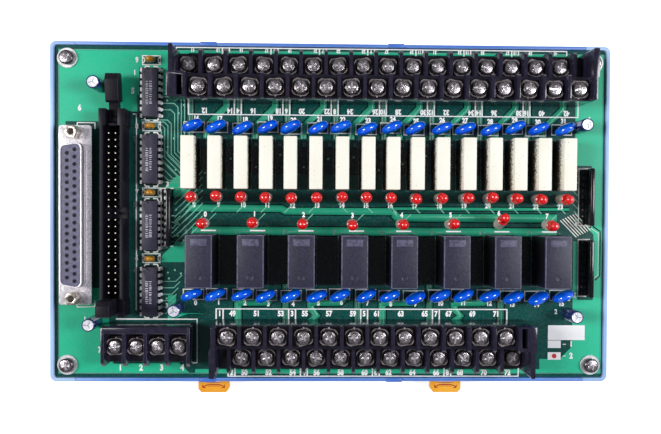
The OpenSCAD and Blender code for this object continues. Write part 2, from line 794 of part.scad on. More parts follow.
// Puts its children on top of every terminal plate, each one turned by
// another multiple of the angle turn
module at_terminals(turn) {
    upper_frame() at_tiers(n_upper, turn) children();
    lower_frame() at_tiers(n_lower, turn) children();
    supply_frame() for (i = [0:supply_n - 1])
        translate([supply_xs()[i], supply_mid(), low_seat + plate_t])
            rotate([0, 0, turn * (i + 1)]) children();
}

module at_tiers(n, turn) {
    for (i = [0:n - 1]) {
        translate([tier_xs(n, -pitch / 4)[i], low_y(), low_seat + plate_t])
            rotate([0, 0, turn * i]) children();
        translate([tier_xs(n, pitch / 4)[i], high_y(), high_seat + plate_t])
            rotate([0, 0, turn * (i + n)]) children();
    }
}

module terminal_screws() {
    color("silver") at_terminals(37) translate([0, 0, cup_t])
        pan_screw(shank_d, head_d, head_h, shank_l, 0.8);
}

// Square washers with clipped corners
module terminal_cups() {
    color("silver") at_terminals(0) difference() {
        intersection() {
            cube_at([cup_w, cup_w, cup_t]);
            cylinder(h = cup_t, d = 1.12 * cup_w);
        }
        translate([0, 0, -1]) cylinder(h = cup_t + 2, d = shank_hole);
    }
}

// ----------------------------------------------------------------- socket

shell_l = (contact_n - 1) * contact_pitch + 2 * shell_end;
post_span = shell_l + 2 * post_out;
flange_l = post_span + 2 * flange_end;

// The socket's outline: wide on +X, its short sides drawn in by 10 degrees
module socket_outline(grow) {
    r = 2.4;
    half_w = shell_w / 2 - r;
    half_l = shell_l / 2 - r;
    draw_in = tan(10) * 2 * half_w;
    hull() for (s = [-1, 1]) {
        translate([half_w, s * half_l]) circle(r = r + grow, $fn = 32);
        translate([-half_w, s * (half_l - draw_in)]) circle(r = r + grow, $fn = 32);
    }
}

module at_posts() {
    for (s = [-1, 1]) on_board(socket_x, socket_y + s * post_span / 2) children();
}

module socket_shell() {
    color("lightgray") difference() {
        on_board(socket_x, socket_y) translate([0, 0, flange_z]) {
            round_plate(flange_d, flange_l, shell_t, 1.2);
            linear_extrude(shell_t + shell_h) socket_outline(0);
        }
        on_board(socket_x, socket_y) translate([0, 0, flange_z - 1])
            linear_extrude(shell_h + shell_t + 2) socket_outline(-shell_t);
        at_posts() cylinder(h = flange_z + shell_h, d = 3.2);
    }
}

// Places of the contacts, the longer row on +X
function contact_places() = concat(
    [for (i = [0:contact_n - 1])
        [contact_row / 2, (i - (contact_n - 1) / 2) * contact_pitch]],
    [for (i = [0:contact_n - 2])
        [-contact_row / 2, (i - (contact_n - 2) / 2) * contact_pitch]]);

module socket_insulator() {
    face = flange_z + shell_t + shell_h - 0.4;
    color("slategray") on_board(socket_x, socket_y) difference() {
        union() {
            cube_at([flange_d - 2, shell_l - 2, flange_z]);
            linear_extrude(face) socket_outline(-shell_t - 0.05);
        }
        for (p = contact_places()) translate([p[0], p[1], flange_z])
            cylinder(h = face, d = contact_d, $fn = 16);
    }
}

module socket_contacts() {
    color("gold") on_board(socket_x, socket_y) for (p = contact_places())
        translate([p[0], p[1], flange_z]) difference() {
            cylinder(h = shell_h - 1, d = contact_d - 0.1, $fn = 16);
            translate([0, 0, 1]) cylinder(h = shell_h, d = 0.7, $fn = 16);
        }
}

// Jack post: spacer under the flange, neck through it, hexagon on top
module socket_posts() {
    color("silver") at_posts() difference() {
        union() {
            cylinder(h = flange_z, d = post_flats);
            cylinder(h = flange_z + shell_t + eps, d = 3);
            translate([0, 0, flange_z + shell_t])
                cylinder(h = post_h, d = post_flats / cos(30), $fn = 6);
        }
        translate([0, 0, flange_z + shell_t + post_h - thread_l])
            cylinder(h = thread_l + 1, d = thread_d);
    }
}

// ------------------------------------------------------------- box header

pins_half = (pin_n - 1) * pin_pitch / 2;
hinge_y = pins_half + hinge_past;
slot_w = neck_w + 0.8;
ear_w = header_w + 1;
ear_y = hinge_y + 3.8;
cavity_y = hinge_y - 2.6;
toe_l = 4.2;

module header_body() {
    color("dimgray") on_board(header_x, header_y) difference() {
        union() {
            cube_at([header_w, 2 * cavity_y + 2, header_h]);
            for (s = [-1, 1]) translate([0, s * (cavity_y + ear_y) / 2, 0])
                cube_at([ear_w, ear_y - cavity_y, header_h]);
        }
        translate([0, 0, header_floor])
            cube_at([header_w - 2 * header_wall, 2 * cavity_y, header_h]);
        for (s = [-1, 1]) {
            translate([0, s * (hinge_y - toe_l - 0.6 + ear_y + 1) / 2, 1])
                cube_at([slot_w, ear_y + 1 - (hinge_y - toe_l - 0.6), header_h]);
            translate([-ear_w, s * hinge_y, hinge_z]) rotate([0, quarter, 0])
                cylinder(h = 2 * ear_w, d = hinge_d + 2 * hinge_gap);
        }
        translate([header_w / 2, 0, header_floor])
            cube_at([2 * header_wall + 0.2, key_w, header_h]);
        at_pins() translate([0, 0, -1])
            cube_at([pin_t + 0.06, pin_t + 0.06, header_floor + 2]);
    }
}

module at_pins() {
    for (s = [-1, 1], i = [0:pin_n - 1])
        translate([s * pin_pitch / 2, i * pin_pitch - pins_half, 0]) children();
}

module header_pins() {
    tip = 0.4;
    color("gold") on_board(header_x, header_y) at_pins() {
        cube_at([pin_t, pin_t, pin_h - tip]);
        cube_at([0.6 * pin_t, 0.6 * pin_t, pin_h]);
    }
}

// An ejector standing closed: hinge at the origin, outward is +Y
module ejector() {
    half = neck_t / 2;
    back = hub_r - head_t;
    along_x(neck_w, [
        [-half, 0], [-toe_l, -hub_r / 2], [-toe_l, -hub_r + 0.2], [-0.6, -hub_r + 0.1],
        [half, 0], [half, neck_l + 0.6], [-half, neck_l + 0.6]]);
    translate([-neck_w / 2, 0, 0]) rotate([0, quarter, 0]) cylinder(h = neck_w, r = hub_r);
    along_x(head_w, [
        [hub_r, neck_l], [hub_r, ejector_l - 0.8], [hub_r - 0.8, ejector_l],
        [-hub_r, ejector_l], [back, ejector_l - hub_r], [back, neck_l + 0.8],
        [back + 0.8, neck_l]]);
    translate([-ear_w / 2 + 0.2, 0, 0]) rotate([0, quarter, 0])
        cylinder(h = ear_w - 0.4, d = hinge_d);
}

module ejector_upper() {
    color("dimgray") on_board(header_x, header_y + hinge_y) translate([0, 0, hinge_z])
        rotate([-open_angle, 0, 0]) ejector();
}

module ejector_lower() {
    color("dimgray") on_board(header_x, header_y - hinge_y) translate([0, 0, hinge_z])
        mirror([0, 1, 0]) ejector();
}

// ----------------------------------------------------------------- relays

// How far the relay at place i stands off its even place
function play(i) = unevenness * sin(72 * i - 60);
function slim_x(i) = first_x + (i - 1) * relay_pitch + play(i - 1);
function power_x(i) = first_x + row_shift + 2 * (i - 1) * relay_pitch + play(3 * i);

// A closed relay case on four small feet
module relay_case(w, l, h, r) {
    stand = 0.3;
    translate([0, 0, stand]) round_plate(w, l, h - stand, r);
    for (sx = [-1, 1], sy = [-1, 1])
        translate([sx * (w / 2 - 1), sy * (l / 2 - 1), 0]) cube_at([1, 1, stand + eps]);
}

module slim_relay(i) {
    color("ivory") on_board(slim_x(i), slim_y) relay_case(slim_w, slim_l, slim_h, 0.3);
}

// A power relay has a shallow raised field on its top
module power_relay(i) {
    field = 0.15;
    color("darkslategray") on_board(power_x(i), power_y) {
        relay_case(power_w, power_l, power_h - field, 0.5);
        translate([0, -0.1 * power_l, power_h - field - eps])
            cube_at([power_w - 1.6, 0.62 * power_l, field + eps]);
    }
}

// ------------------------------------------------------------ small parts

// A disc with a full round edge, standing on edge along X
module rounded_disc(d, t) {
    edge = t / 2;
    rotate([quarter, 0, 0]) rotate_extrude($fn = 32) {
        translate([0, -edge]) square([d / 2 - edge, t]);
        intersection() {
            translate([d / 2 - edge, 0]) circle(r = edge, $fn = 24);
            translate([0, -edge]) square([d, t]);
        }
    }
}

// A coated disc on two wires
module varistor() {
    translate([0, 0, disc_lift + disc_d / 2]) rounded_disc(disc_d, disc_t);
    for (s = [-1, 1]) translate([s * 2.5, s * 0.7, 0])
        cylinder(h = disc_lift + disc_d / 3, d = 0.6, $fn = 16);
}

module varistors() {
    color("royalblue") for (i = [1:n_slim]) {
        x = first_x + (i - 1) * relay_pitch;
        on_board(x + play(2 * i), disc_upper_y + play(3 * i)) rotate([0, 0, disc_angle])
            varistor();
        on_board(x - play(3 * i + 1), disc_lower_y + play(i)) rotate([0, 0, disc_angle])
            varistor();
    }
}

// Leans its children over towards the direction turn, about the edge of their
// foot, so that they still stand on the board
module lean(angle, turn) {
    rotate([0, 0, turn]) translate([spacer_d / 2, 0, 0]) rotate([0, angle, 0])
        translate([-spacer_d / 2, 0, 0]) rotate([0, 0, -turn]) children();
}

// Puts its children at the foot of every lamp, leaning as the lamp does
module at_lamps() {
    for (i = [0:n_slim - 1]) on_board(first_x + i * relay_pitch, lamp_upper_y)
        lean(lamp_lean * abs(sin(67 * i + 40)), 67 * i) children();
    for (i = [0:n_power - 1])
        on_board(first_x + row_shift + 2 * i * relay_pitch, lamp_lower_y)
            if (i == bent_lamp - 1) lean(bent_lean, quarter) children();
            else lean(lamp_lean * abs(sin(83 * i + 20)), 83 * i) children();
}

module lamps() {
    collar = 0.8;
    color("red") at_lamps() translate([0, 0, spacer_h]) {
        cylinder(h = collar, d = lamp_d + 0.6);
        cylinder(h = lamp_h - spacer_h - lamp_d / 2, d = lamp_d);
        translate([0, 0, lamp_h - spacer_h - lamp_d / 2]) sphere(d = lamp_d);
    }
}

module lamp_spacers() {
    color("white") at_lamps() cylinder(h = spacer_h, d = spacer_d);
}

// Places of the electrolytic capacitors on the board
can_places = [
    [left + 19.4, top - 17.3], [left + 17.7, -top + 23.7], [dip_x + 10.75, disc_lower_y - 5.1],
    [right - 12.4, upper_y - 8.3], [right - 15.6, lower_y + 2.5]];

// A can with a crimped groove near its foot and a rolled edge at its top
module electrolytic() {
    rotate_extrude() polygon([
        [0, 0], [can_d / 2, 0], [can_d / 2, 1.2], [can_d / 2 - 0.3, 1.6],
        [can_d / 2, 2], [can_d / 2, can_h - 0.3], [can_d / 2 - 0.3, can_h],
        [can_d / 2 - 0.6, can_h], [can_d / 2 - 0.8, can_h - 0.2], [0, can_h - 0.2]]);
}

module electrolytics() {
    color("midnightblue") for (p = can_places) on_board(p[0], p[1]) electrolytic();
}

// A moulded case with a notch at its +Y end and eight leads on each side
module driver_circuit() {
    stand = 0.6;
    mid = stand + dip_t / 2;
    lead_w = 1.4;
    difference() {
        rotate([quarter, 0, 0]) translate([0, 0, -dip_l / 2]) linear_extrude(dip_l) polygon([
            [-dip_w / 2 + 0.3, stand], [dip_w / 2 - 0.3, stand], [dip_w / 2, mid],
            [dip_w / 2 - 0.3, stand + dip_t], [-dip_w / 2 + 0.3, stand + dip_t],
            [-dip_w / 2, mid]]);
        translate([0, dip_l / 2, stand + dip_t - 0.6]) cylinder(h = 1, r = 0.9);
    }
    for (s = [0, 1], i = [0:lead_n - 1]) mirror([s, 0, 0])
        translate([0, (i - (lead_n - 1) / 2) * pin_pitch, 0]) rotate([quarter, 0, 0])
            translate([0, 0, -lead_w / 2]) linear_extrude(lead_w) polygon([
                [dip_w / 2 - 0.5, mid - 0.12], [dip_span / 2 - 0.3, mid - 0.12],
                [dip_span / 2 - 0.13, mid - 0.4], [dip_span / 2 - 0.13, 0],
                [dip_span / 2 + 0.13, 0], [dip_span / 2 + 0.13, mid - 0.2],
                [dip_span / 2 - 0.1, mid + 0.13], [dip_w / 2 - 0.5, mid + 0.13]]);
}

module drivers() {
    color("darkslategray") for (i = [0:n_drivers - 1]) on_board(dip_x, dip_y - i * dip_step)
        driver_circuit();
}

// A dipped drop on two wires beside each driver circuit
module ceramic_capacitors() {
    color("goldenrod") for (i = [0:n_drivers - 1])
        on_board(dip_x, dip_y + ceramic_step - i * dip_step) {
            translate([0, 0, ceramic_mid]) rounded_disc(ceramic_d, ceramic_t);
            for (s = [-1, 1]) translate([s * pin_pitch / 2, 0, 0])
                cylinder(h = ceramic_mid - 0.3, d = 0.5, $fn = 16);
        }
}

// A flat comb of resistors: a coated body on a row of wires
module resistor_network() {
    stand = 1;
    translate([0, 0, stand])
        round_plate(network_t, network_n * pin_pitch - 0.2, network_h - stand, 0.5);
    for (i = [0:network_n - 1]) translate([0, (i - (network_n - 1) / 2) * pin_pitch, 0])
        cube_at([0.4, 0.8, stand + 0.5]);
}

module resistor_networks() {
    color("darkslategray") {
        on_board(left + network_from_left, network_left_y) resistor_network();
        on_board(right - network_from_right, network_upper_y) resistor_network();
        on_board(right - network_from_right, network_upper_y - network_step)
            resistor_network();
    }
}

// --------------------------------------------------------------- the part

end_left();
end_right();
base_left();
base_middle();
base_right();
seam_clips();
foot_left();
foot_right();
latch_left();
latch_right();
board();
board_screws();
board_washers();
socket_shell();
socket_insulator();
socket_contacts();
socket_posts();
header_body();
header_pins();
ejector_upper();
ejector_lower();
upper_block();
upper_plates();
lower_block();
lower_plates();
supply_block();
supply_plates();
terminal_screws();
terminal_cups();
drivers();
ceramic_capacitors();
resistor_networks();
electrolytics();
varistors();
lamps();
lamp_spacers();
for (i = [1:n_slim]) slim_relay(i);
for (i = [1:n_power]) power_relay(i);
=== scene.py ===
# Looks of the relay module board: finishes, printed and etched artwork on the
# circuit board, screws, lamps, capacitors, varistors, relay cases and cases of
# the integrated drivers, a pale floor, soft light and the camera.
# Everything is in metres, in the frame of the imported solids.
import math
import random

import bmesh
import bpy
from mathutils import Matrix, Vector


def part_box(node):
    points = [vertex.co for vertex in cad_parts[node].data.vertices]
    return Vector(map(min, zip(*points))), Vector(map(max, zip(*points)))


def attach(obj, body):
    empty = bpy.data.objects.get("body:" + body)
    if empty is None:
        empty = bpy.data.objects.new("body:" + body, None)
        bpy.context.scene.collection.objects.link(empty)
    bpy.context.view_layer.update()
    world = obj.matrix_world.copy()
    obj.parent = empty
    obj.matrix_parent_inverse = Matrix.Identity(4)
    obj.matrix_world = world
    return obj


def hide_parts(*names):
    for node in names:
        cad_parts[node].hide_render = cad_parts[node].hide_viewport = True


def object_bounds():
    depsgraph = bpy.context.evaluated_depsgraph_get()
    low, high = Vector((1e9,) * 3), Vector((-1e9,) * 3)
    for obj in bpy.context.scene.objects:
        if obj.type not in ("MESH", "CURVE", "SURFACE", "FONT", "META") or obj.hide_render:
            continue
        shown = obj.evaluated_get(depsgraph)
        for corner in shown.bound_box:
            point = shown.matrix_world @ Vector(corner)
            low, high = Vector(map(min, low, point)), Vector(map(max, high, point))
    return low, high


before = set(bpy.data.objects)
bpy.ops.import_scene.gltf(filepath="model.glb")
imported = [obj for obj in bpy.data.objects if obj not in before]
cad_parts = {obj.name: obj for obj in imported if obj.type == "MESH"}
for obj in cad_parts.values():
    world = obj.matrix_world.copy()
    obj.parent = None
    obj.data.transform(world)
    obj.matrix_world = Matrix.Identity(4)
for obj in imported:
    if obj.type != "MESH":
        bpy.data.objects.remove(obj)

cad_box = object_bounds()
MM = 0.001
BODY = "carrier"
UPRIGHT = (0, 0, 0)
PIN_PITCH = 2.54 * MM
HIGH_TIER = 9 * MM  # plates higher than this over the board are on a high tier
BOARD_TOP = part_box("board")[1].z
LENS = 38.78687  # the camera's focal length in millimetres
EYE_HEIGHT = 281.64 * MM  # the camera over the board
NUMERAL_WIDTH = 0.82
NUMERAL_SIZE = 1.4  # scale from a number's wanted height to its type size
PLATE_NODES = ("upper_plates", "lower_plates", "supply_plates")


# ------------------------------------------------------------ small helpers

def tint(red, green, blue):
    """A colour given as it looks, from 0 to 255, as the shader wants it."""
    linear = []
    for part in (red, green, blue):
        part = part / 255
        linear.append(part / 12.92 if part <= 0.04045 else ((part + 0.055) / 1.055) ** 2.4)
    return (*linear, 1.0)


def middle(node):
    """The middle of a CAD node's box."""
    low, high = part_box(node)
    return (low + high) / 2


def merged(node):
    """A copy of a CAD node's mesh with its loose triangles merged."""
    work = bmesh.new()
    work.from_mesh(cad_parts[node].data)
    bmesh.ops.remove_doubles(work, verts=work.verts, dist=2e-6)
    return work


def solids(node):
    """The points of each separate solid in a CAD node, sorted along X."""
    work = merged(node)
    seen = set()
    found = []
    for first in work.verts:
        if first in seen:
            continue
        seen.add(first)
        waiting = [first]
        points = []
        while waiting:
            vert = waiting.pop()
            points.append(vert.co.copy())
            for edge in vert.link_edges:
                other = edge.other_vert(vert)
                if other not in seen:
                    seen.add(other)
                    waiting.append(other)
        found.append(points)
    work.free()
    return sorted(found, key=lambda points: (round(points[0].y, 3), min(p.x for p in points)))


def in_rows(found, split):
    """Separate solids counted along the row below split, then along the one above."""
    centre = [sum(points, Vector()) / len(points) for points in found]
    order = sorted(range(len(found)), key=lambda i: (centre[i].y > split, centre[i].x))
    return [found[i] for i in order]


def low_high(points):
    """Lowest and highest corner of some points."""
    low = Vector([min(p[i] for p in points) for i in range(3)])
    high = Vector([max(p[i] for p in points) for i in range(3)])
    return low, high


def boxes(node):
    """The lowest and highest corner of each separate solid in a CAD node."""
    return [low_high(points) for points in solids(node)]


def mid_at(low, high, z):
    """The point at height z in the middle of a box."""
    return Vector(((low.x + high.x) / 2, (low.y + high.y) / 2, z))


def middles(groups):
    """The middles of groups of points, seen from above."""
    found = [low_high(points) for points in groups]
    return [((low.x + high.x) / 2, (low.y + high.y) / 2) for low, high in found]


def unturned(points):
    """Places with no turn, for set_out."""
    return [(point, UPRIGHT) for point in points]


def numbered(start):
    """The CAD nodes that have this name and a number, in order."""
    count = sum(1 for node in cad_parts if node.startswith(start))
    return [start + str(i + 1) for i in range(count)]


def standing(nodes):
    """Where CAD nodes stand, for set_out."""
    return unturned(Vector((*middle(n).xy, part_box(n)[0].z)) for n in nodes)


def new_object(name, data):
    made = bpy.data.objects.new(name, data)
    bpy.context.scene.collection.objects.link(made)
    return made


def from_bmesh(name, work):
    """An object with the mesh that is in work."""
    data = bpy.data.meshes.new(name)
    work.to_mesh(data)
    work.free()
    return new_object(name, data)


def make_plain(piece):
    """Turns a piece with modifiers into a plain mesh."""
    bpy.context.view_layer.update()
    graph = bpy.context.evaluated_depsgraph_get()
    data = bpy.data.meshes.new_from_object(piece.evaluated_get(graph), depsgraph=graph)
    piece.modifiers.clear()
    piece.data = data
    data.name = piece.name
    return piece


def smooth(piece, angle=32):
    """Smooth shading, with edges sharper than the angle kept."""
    piece.data.shade_smooth()
    piece.data.set_sharp_from_angle(angle=math.radians(angle))
    return piece


def moved(piece, shift):
    """Moves all points of a pattern by a tuple or a vector."""
    for vert in piece.data.vertices:
        for axis in range(3):
            vert.co[axis] += shift[axis]
    return piece


def drop(piece):
    """Takes a pattern out of the scene once its copies are made."""
    data = piece.data
    bpy.data.objects.remove(piece)
    bpy.data.meshes.remove(data)


def dress(piece, finish, slot, *nodes, body=BODY):
    """Gives a finished piece its finish, its body and the CAD nodes it stands for."""
    if finish is not None:
        piece.data.materials.clear()
        piece.data.materials.append(finish)
    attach(piece, body)
    if nodes:
        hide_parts(*nodes)
    return piece


def paint(finish, *nodes):
    """Gives CAD nodes that stay as they are a finish."""
    for node in nodes:
        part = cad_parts[node]
        part.data.materials.clear()
        part.data.materials.append(finish)


def wall(work, lower, upper):
    """Faces between two rings with as many points, added to work."""
    for i in range(len(lower)):
        j = (i + 1) % len(lower)
        work.faces.new((lower[i], lower[j], upper[j], upper[i]))


def lathe(profile, steps=28, top_closed=True, bottom_closed=True):
    """A turned shape round Z from (radius, height) pairs, listed upwards."""
    work = bmesh.new()
    rings = []
    for radius, height in profile:
        ring = []
        for i in range(steps):
            turn = 2 * math.pi * i / steps
            ring.append(work.verts.new((radius * math.cos(turn), radius * math.sin(turn), height)))
        rings.append(ring)
    for lower, upper in zip(rings, rings[1:]):
        wall(work, lower, upper)
    if bottom_closed:
        work.faces.new(list(reversed(rings[0])))
    if top_closed:
        work.faces.new(rings[-1])
    bmesh.ops.recalc_face_normals(work, faces=work.faces)
    return work


def slab(work, outline, low, high):
    """A flat plate with an outline in X and Y, added to work."""
    under = [work.verts.new((x, y, low)) for x, y in outline]
    over = [work.verts.new((x, y, high)) for x, y in outline]
    work.faces.new(over)
    work.faces.new(list(reversed(under)))
    wall(work, under, over)


def oblong(x0, y0, x1, y1):
    """The outline of a rectangle."""
    return [(x0, y0), (x1, y0), (x1, y1), (x0, y1)]


def block(work, low, high):
    """A box between two corners, added to work."""
    slab(work, oblong(low[0], low[1], high[0], high[1]), low[2], high[2])


def mark_narrow(piece, edge):
    """Marks the narrow faces of rounded edges, which are drawn lighter where handling has worn them and as a
    painted highlight.
    """
    mask = piece.data.attributes.new("rubbed", "FLOAT", "FACE")
    verts = piece.data.vertices
    for face in piece.data.polygons:
        corners = [verts[i].co for i in face.vertices]
        longest = max((a - b).length for a, b in zip(corners, corners[1:] + corners[:1]))
        mask.data[face.index].value = float(face.area < longest * edge * 0.9)


def rounded(name, work, edge, steps=2, angle=30):
    """A plain piece from work with its edges rounded off."""
    bmesh.ops.recalc_face_normals(work, faces=work.faces)
    piece = from_bmesh(name, work)
    bevel = piece.modifiers.new("Edges", "BEVEL")
    bevel.width = edge
    bevel.segments = steps
    bevel.limit_method = "ANGLE"
    bevel.angle_limit = math.radians(angle)
    make_plain(piece)
    mark_narrow(piece, edge)
    return smooth(piece)


def softened(node, edge, finish, slot, name, body=BODY):
    """A CAD node's shape with its edges rounded off, standing for the node."""
    work = merged(node)
    bmesh.ops.dissolve_limit(work, angle_limit=math.radians(1), verts=work.verts, edges=work.edges)
    return dress(rounded(name, work, edge), finish, slot, node, body=body)


def cut(piece, cutter):
    """Takes one shape out of another."""
    step = piece.modifiers.new("Cut", "BOOLEAN")
    step.object = cutter
    step.solver = "EXACT"
    step.use_self = True
    make_plain(piece)
    drop(cutter)
    return piece


# --------------------------------------------------------- geometry node trees

def new_tree(name, sizes):
    """A geometry node tree with named inputs, and its input and output nodes."""
    tree = bpy.data.node_groups.new(name, "GeometryNodeTree")
    face = tree.interface
    face.new_socket("Geometry", in_out="INPUT", socket_type="NodeSocketGeometry")
    for label, kind in sizes:
        face.new_socket(label, in_out="INPUT", socket_type="NodeSocket" + kind)
    face.new_socket("Geometry", in_out="OUTPUT", socket_type="NodeSocketGeometry")
    entry = tree.nodes.new("NodeGroupInput")
    leave = tree.nodes.new("NodeGroupOutput")
    return tree, entry, leave


def finish_tree(tree, entry, leave, geometry):
    """Ends a tree with real geometry that has its finish."""
    real = tree.nodes.new("GeometryNodeRealizeInstances")
    coat = tree.nodes.new("GeometryNodeSetMaterial")
    tree.links.new(geometry, real.inputs[0])
    tree.links.new(real.outputs[0], coat.inputs["Geometry"])
    tree.links.new(entry.outputs["Finish"], coat.inputs["Material"])
    tree.links.new(coat.outputs[0], leave.inputs[0])
    return tree


def spread_tree():
    """Sets a pattern out on points, each copy turned as its point says and then
    by a little more that differs from copy to copy."""
    tree, entry, leave = new_tree("set_out_copies", [
        ("Pattern", "Object"), ("Size", "Float"), ("Unevenness", "Float"), ("Seed", "Int"),
        ("Finish", "Material")])
    nodes, links = tree.nodes, tree.links
    pattern = nodes.new("GeometryNodeObjectInfo")
    turn = nodes.new("GeometryNodeInputNamedAttribute")
    turn.data_type = "FLOAT_VECTOR"
    turn.inputs["Name"].default_value = "turn"
    chance = nodes.new("FunctionNodeRandomValue")
    chance.data_type = "FLOAT_VECTOR"
    chance.inputs[0].default_value = (-1, -1, -1)
    chance.inputs[1].default_value = (1, 1, 1)
    little = nodes.new("ShaderNodeVectorMath")
    little.operation = "SCALE"
    total = nodes.new("ShaderNodeVectorMath")
    total.operation = "ADD"
    as_turn = nodes.new("FunctionNodeEulerToRotation")
    copies = nodes.new("GeometryNodeInstanceOnPoints")
    links.new(entry.outputs["Pattern"], pattern.inputs["Object"])
    links.new(entry.outputs["Seed"], chance.inputs["Seed"])
    links.new(chance.outputs[0], little.inputs[0])
    links.new(entry.outputs["Unevenness"], little.inputs["Scale"])
    links.new(turn.outputs["Attribute"], total.inputs[0])
    links.new(little.outputs[0], total.inputs[1])
    links.new(total.outputs[0], as_turn.inputs[0])
    links.new(entry.outputs["Geometry"], copies.inputs["Points"])
    links.new(pattern.outputs["Geometry"], copies.inputs["Instance"])
    links.new(as_turn.outputs[0], copies.inputs["Rotation"])
    links.new(entry.outputs["Size"], copies.inputs["Scale"])
    return finish_tree(tree, entry, leave, copies.outputs[0])


def strip_tree():
    """Lays a flat strip along paths, as etched tracks and printed lines are."""
    tree, entry, leave = new_tree("lay_strips", [
        ("Width", "Float"), ("Thickness", "Float"), ("Finish", "Material")])
    nodes, links = tree.nodes, tree.links
    path = nodes.new("GeometryNodeMeshToCurve")
    level = nodes.new("GeometryNodeSetCurveNormal")
    level.mode = "Z_UP"
    section = nodes.new("GeometryNodeCurvePrimitiveQuadrilateral")
    sweep = nodes.new("GeometryNodeCurveToMesh")
    sweep.inputs["Fill Caps"].default_value = True
    links.new(entry.outputs["Geometry"], path.inputs["Mesh"])
    links.new(path.outputs[0], level.inputs[0])
    links.new(entry.outputs["Width"], section.inputs["Width"])
    links.new(entry.outputs["Thickness"], section.inputs["Height"])
    links.new(level.outputs[0], sweep.inputs["Curve"])
    links.new(section.outputs[0], sweep.inputs["Profile Curve"])
    return finish_tree(tree, entry, leave, sweep.outputs[0])


STRIP_STEP = 0.0008 * MM  # strips that cross never share a level
SET_OUT = spread_tree()
LAY_STRIPS = strip_tree()


def give_sizes(modifier, **sizes):
    """Sets a tree's inputs by their sockets' identifiers."""
    wanted = {label.replace("_", " "): value for label, value in sizes.items()}
    for socket in modifier.node_group.interface.items_tree:
        if socket.in_out == "INPUT" and socket.name in wanted:
            modifier[socket.identifier] = wanted[socket.name]


def set_out(name, pattern, places, finish, uneven=0.0, seed=1, keep=False):
    """One plain piece with a copy of the pattern at each (place, turn)."""
    data = bpy.data.meshes.new(name)
    data.from_pydata([tuple(place) for place, turn in places], [], [])
    turns = data.attributes.new("turn", "FLOAT_VECTOR", "POINT")
    for i, (place, turn) in enumerate(places):
        turns.data[i].vector = turn
    piece = new_object(name, data)
    step = piece.modifiers.new("Copies", "NODES")
    step.node_group = SET_OUT
    give_sizes(step, Pattern=pattern, Size=1.0, Unevenness=uneven, Seed=seed, Finish=finish)
    make_plain(piece)
    if not keep:
        drop(pattern)
    return piece


def fit_out(name, pattern, places, finish, slot, *nodes, angle=32, **how):
    """Sets a pattern out and dresses the copies, smooth unless the angle is None."""
    copies = set_out(name, pattern, places, finish, **how)
    if angle is not None:
        smooth(copies, angle)
    return dress(copies, finish, slot, *nodes)


def lay(name, paths, width, thickness, finish, level):
    """One plain piece of flat strips on a level, along paths of (x, y) points."""
    points = []
    edges = []
    for k, path in enumerate(paths):
        start = len(points)
        points.extend((x, y, level + k * STRIP_STEP) for x, y in path)
        edges.extend((start + i, start + i + 1) for i in range(len(path) - 1))
        if path[0] == path[-1]:
            points.pop()
            edges[-1] = (edges[-1][0], start)
    data = bpy.data.meshes.new(name)
    data.from_pydata(points, edges, [])
    piece = new_object(name, data)
    step = piece.modifiers.new("Strips", "NODES")
    step.node_group = LAY_STRIPS
    give_sizes(step, Width=width, Thickness=thickness, Finish=finish)
    return make_plain(piece)


def joined(name, pieces):
    """Several plain pieces as one."""
    work = bmesh.new()
    for piece in pieces:
        work.from_mesh(piece.data)
    finish = pieces[0].data.materials[0] if pieces[0].data.materials else None
    for piece in pieces:
        drop(piece)
    made = from_bmesh(name, work)
    if finish is not None:
        made.data.materials.append(finish)
    return made


# ----------------------------------------------------------- shader node groups

def new_group(name, inputs, outputs):
    """A shader node group with named sockets, and its input and output nodes."""
    tree = bpy.data.node_groups.new(name, "ShaderNodeTree")
    for label, kind in inputs:
        tree.interface.new_socket(label, in_out="INPUT", socket_type="NodeSocket" + kind)
    for label, kind in outputs:
        tree.interface.new_socket(label, in_out="OUTPUT", socket_type="NodeSocket" + kind)
    return tree, tree.nodes.new("NodeGroupInput"), tree.nodes.new("NodeGroupOutput")


def plug(tree, value, socket):
    """Links a socket to another, or sets it to a plain value."""
    if isinstance(value, bpy.types.NodeSocket):
        tree.links.new(value, socket)
    else:
        socket.default_value = value


def noise(tree, place, scale, detail=2.0):
    """A noise texture over object coordinates. scale is a number or a socket."""
    made = tree.nodes.new("ShaderNodeTexNoise")
    made.inputs["Detail"].default_value = detail
    tree.links.new(place, made.inputs["Vector"])
    plug(tree, scale, made.inputs["Scale"])
    return made


def sums(tree, operation, first, second):
    """A math node. first and second are numbers or sockets."""
    made = tree.nodes.new("ShaderNodeMath")
    made.operation = operation
    plug(tree, first, made.inputs[0])
    plug(tree, second, made.inputs[1])
    return made.outputs[0]


def spanned(tree, value, low, high, to_low=0.0, to_high=1.0):
    """Maps a value from one span to another, without going past the ends."""
    made = tree.nodes.new("ShaderNodeMapRange")
    tree.links.new(value, made.inputs["Value"])
    made.inputs["From Min"].default_value = low
    made.inputs["From Max"].default_value = high
    made.inputs["To Min"].default_value = to_low
    made.inputs["To Max"].default_value = to_high
    return made.outputs["Result"]


def blended(tree, share, first, second):
    """Mixes two colours. first and second are colours or sockets."""
    made = tree.nodes.new("ShaderNodeMix")
    made.data_type = "RGBA"
    for index, value in ((0, share), (6, first), (7, second)):
        plug(tree, value, made.inputs[index])
    return made.outputs[2]


def bumped(tree, height, strength, distance):
    """A bump node. strength is a number or a socket."""
    made = tree.nodes.new("ShaderNodeBump")
    made.inputs["Distance"].default_value = distance
    tree.links.new(height, made.inputs["Height"])
    plug(tree, strength, made.inputs["Strength"])
    return made


